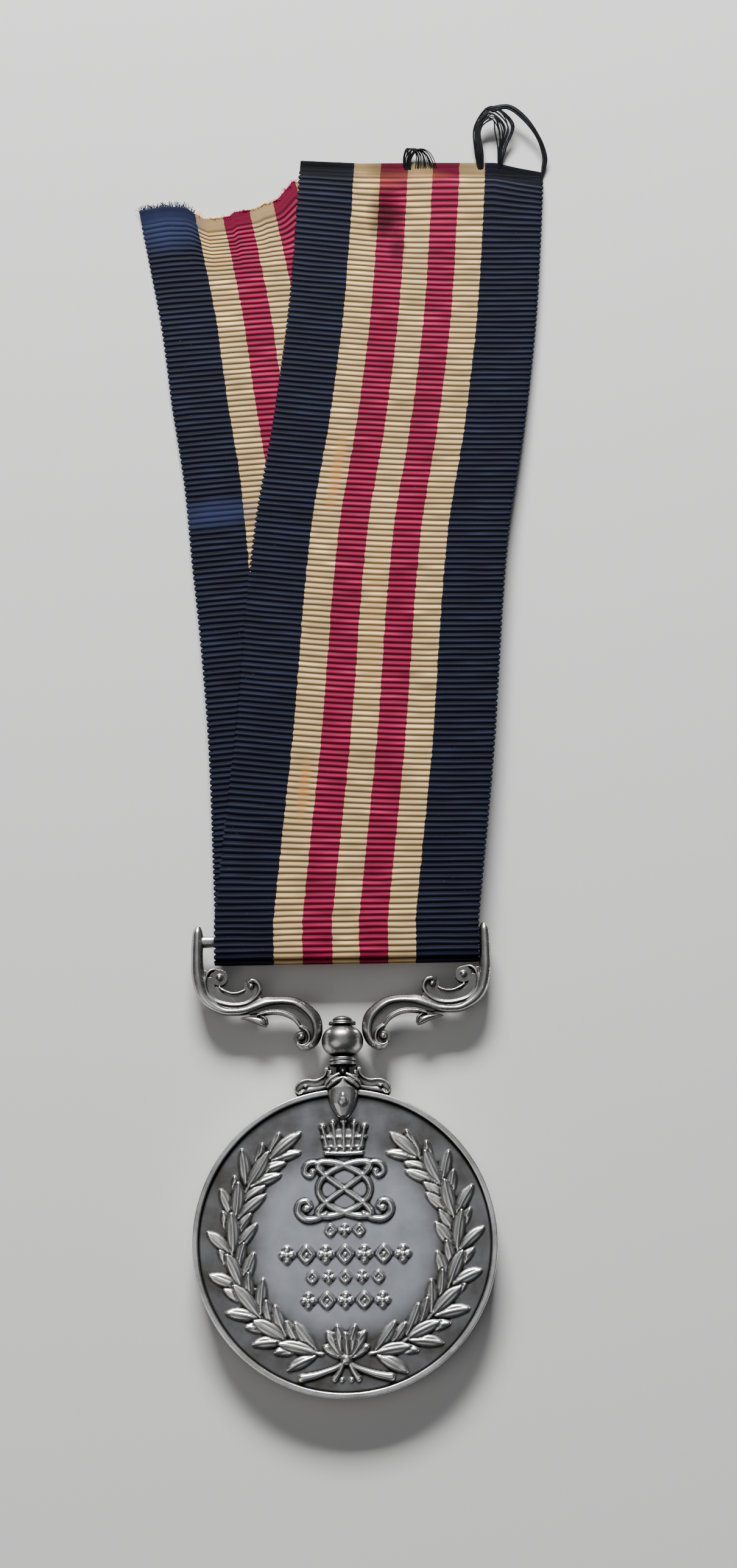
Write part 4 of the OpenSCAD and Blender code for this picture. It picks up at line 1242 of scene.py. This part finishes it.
def build_threads(front_path, back_path, back_cut, back_silk):
    chance = np.random.default_rng(21)
    black = thread_material("thread_black", (0.002, 0.0025, 0.004, 1))
    z0 = front_path[-1, 2] - 0.72
    edge_y = front_path[-1, 1] + 0.8

    def arch(f):
        return [(19.5 + 0.5 * f, edge_y - 0.5), (19.4 + 0.5 * f, edge_y + 1.6),
                (19.05 + 0.75 * f, edge_y + 5.2 - 0.4 * f), (21.4 - 0.2 * f, edge_y + 7.8 - 2.0 * f),
                (24.2 - 2.3 * f, edge_y + 5.3 - 0.9 * f), (23.0 - 0.9 * f, edge_y + 2.2),
                (22.3 - 0.3 * f, edge_y - 0.5)]

    def small_arch(f):
        return [(9.8 + 0.7 * f, edge_y - 0.5), (9.6 + 1.0 * f, edge_y + 0.9),
                (10.2 + 1.3 * f, edge_y + 2.3 - 0.3 * f), (11.2 + 1.8 * f, edge_y + 1.6 - 0.1 * f),
                (11.1 + 3.0 * f, edge_y - 0.5)]

    def tuft(count, route, lift, shake, thin, thick):
        """Threads side by side along a route, shaken wherever they stand clear of the cloth."""
        made = []
        for k in range(count):
            points = [(x + chance.normal() * shake * (0 < h), y + chance.normal() * 0.1 * (0 < h), z0 + h)
                      for (x, y), h in zip(route(k / (count - 1)), lift)]
            made.append((points, chance.uniform(thin, thick)))
        return made

    routes = tuft(13, arch, [0.0, 0.7, 1.3, 1.8, 1.4, 0.8, 0.0], 0.2, 0.07, 0.13)
    for k in range(9):
        f = k / 8
        route = [(20.4 + f, edge_y + 7.4 - 0.4 * f), (23.5 - 0.1 * f, edge_y + 7.9 - 0.55 * f),
                 (25.8 - 0.3 * f, edge_y + 6.2 - 0.5 * f), (27.6 - 0.4 * f, edge_y + 3.4),
                 (28.4 - 0.45 * f, edge_y + 0.9), (28.2 - 0.4 * f, edge_y - 0.6),
                 (27.5 + 0.1 * f, edge_y - 2.4)]
        lift = [1.7, 1.8, 1.6, 1.2, 0.8, 0.45, 0.2]
        routes.append(([(x, y, z0 + h + chance.uniform(-0.1, 0.1)) for (x, y), h in zip(route, lift)],
                       chance.uniform(0.10, 0.16)))
    large = strands("threads_large", routes)
    finish_piece(large, black, "front_leg", "frayed_thread", "thread_loop_large")
    routes = tuft(14, small_arch, [0.0, 0.5, 0.9, 0.6, 0.0], 0.1, 0.05, 0.10)
    small = strands("threads_small", routes)
    finish_piece(small, black, "front_leg", "frayed_thread", "thread_loop_small")

    # Short fibres along the back leg's ragged cut, in the colours of its stripes
    way = back_path[-1] - back_path[-2]
    way /= np.linalg.norm(way)
    across = np.array([math.cos(BACK_TURN), -math.sin(BACK_TURN), 0])
    fibres = []
    shares = []
    for k in range(420):
        t = -1 + 1.35 * chance.random() ** 1.3
        fluff = 1.25 if t < -0.5 else 0.5
        root = back_path[-1] + across * t * (RIBBON_HW - 0.2) + way * (back_cut(np.array([t]))[0] - 0.25)
        reach = chance.uniform(0.25, 0.95) * fluff
        side = chance.normal() * 0.35
        rise = chance.uniform(-0.02, 0.3)
        mid = root + way * reach * 0.6 + across * side * 0.4 + np.array([0, 0, rise])
        tip = root + way * reach + across * side + np.array([0, 0, rise * 0.5])
        fibres.append(([root, mid, tip], chance.uniform(0.02, 0.045)))
        shares.append((t + 1) / 2)
    fringe = strands("fringe_back", fibres, 4)
    per = len(fringe.data.vertices) // len(fibres)
    for key, values in (("across", np.repeat(shares, per)), ("rib", np.ones(per * len(fibres))),
                        ("crest", np.zeros(per * len(fibres))), ("along", np.zeros(per * len(fibres)))):
        add_attribute(fringe, key, values)
    finish_piece(fringe, back_silk, "ribbon", "frayed_thread", "back_fringe")


struck_silver = silver("silver_struck", body=FIELD, struck=True)
rim_silver = silver("silver_rim", body=(0.90, 0.885, 0.86, 1))
cast_silver = silver("silver_cast")
build_disc(struck_silver, rim_silver)
build_claw(cast_silver)
build_swivel(cast_silver)
build_arms(cast_silver)
build_threads(*build_ribbon())
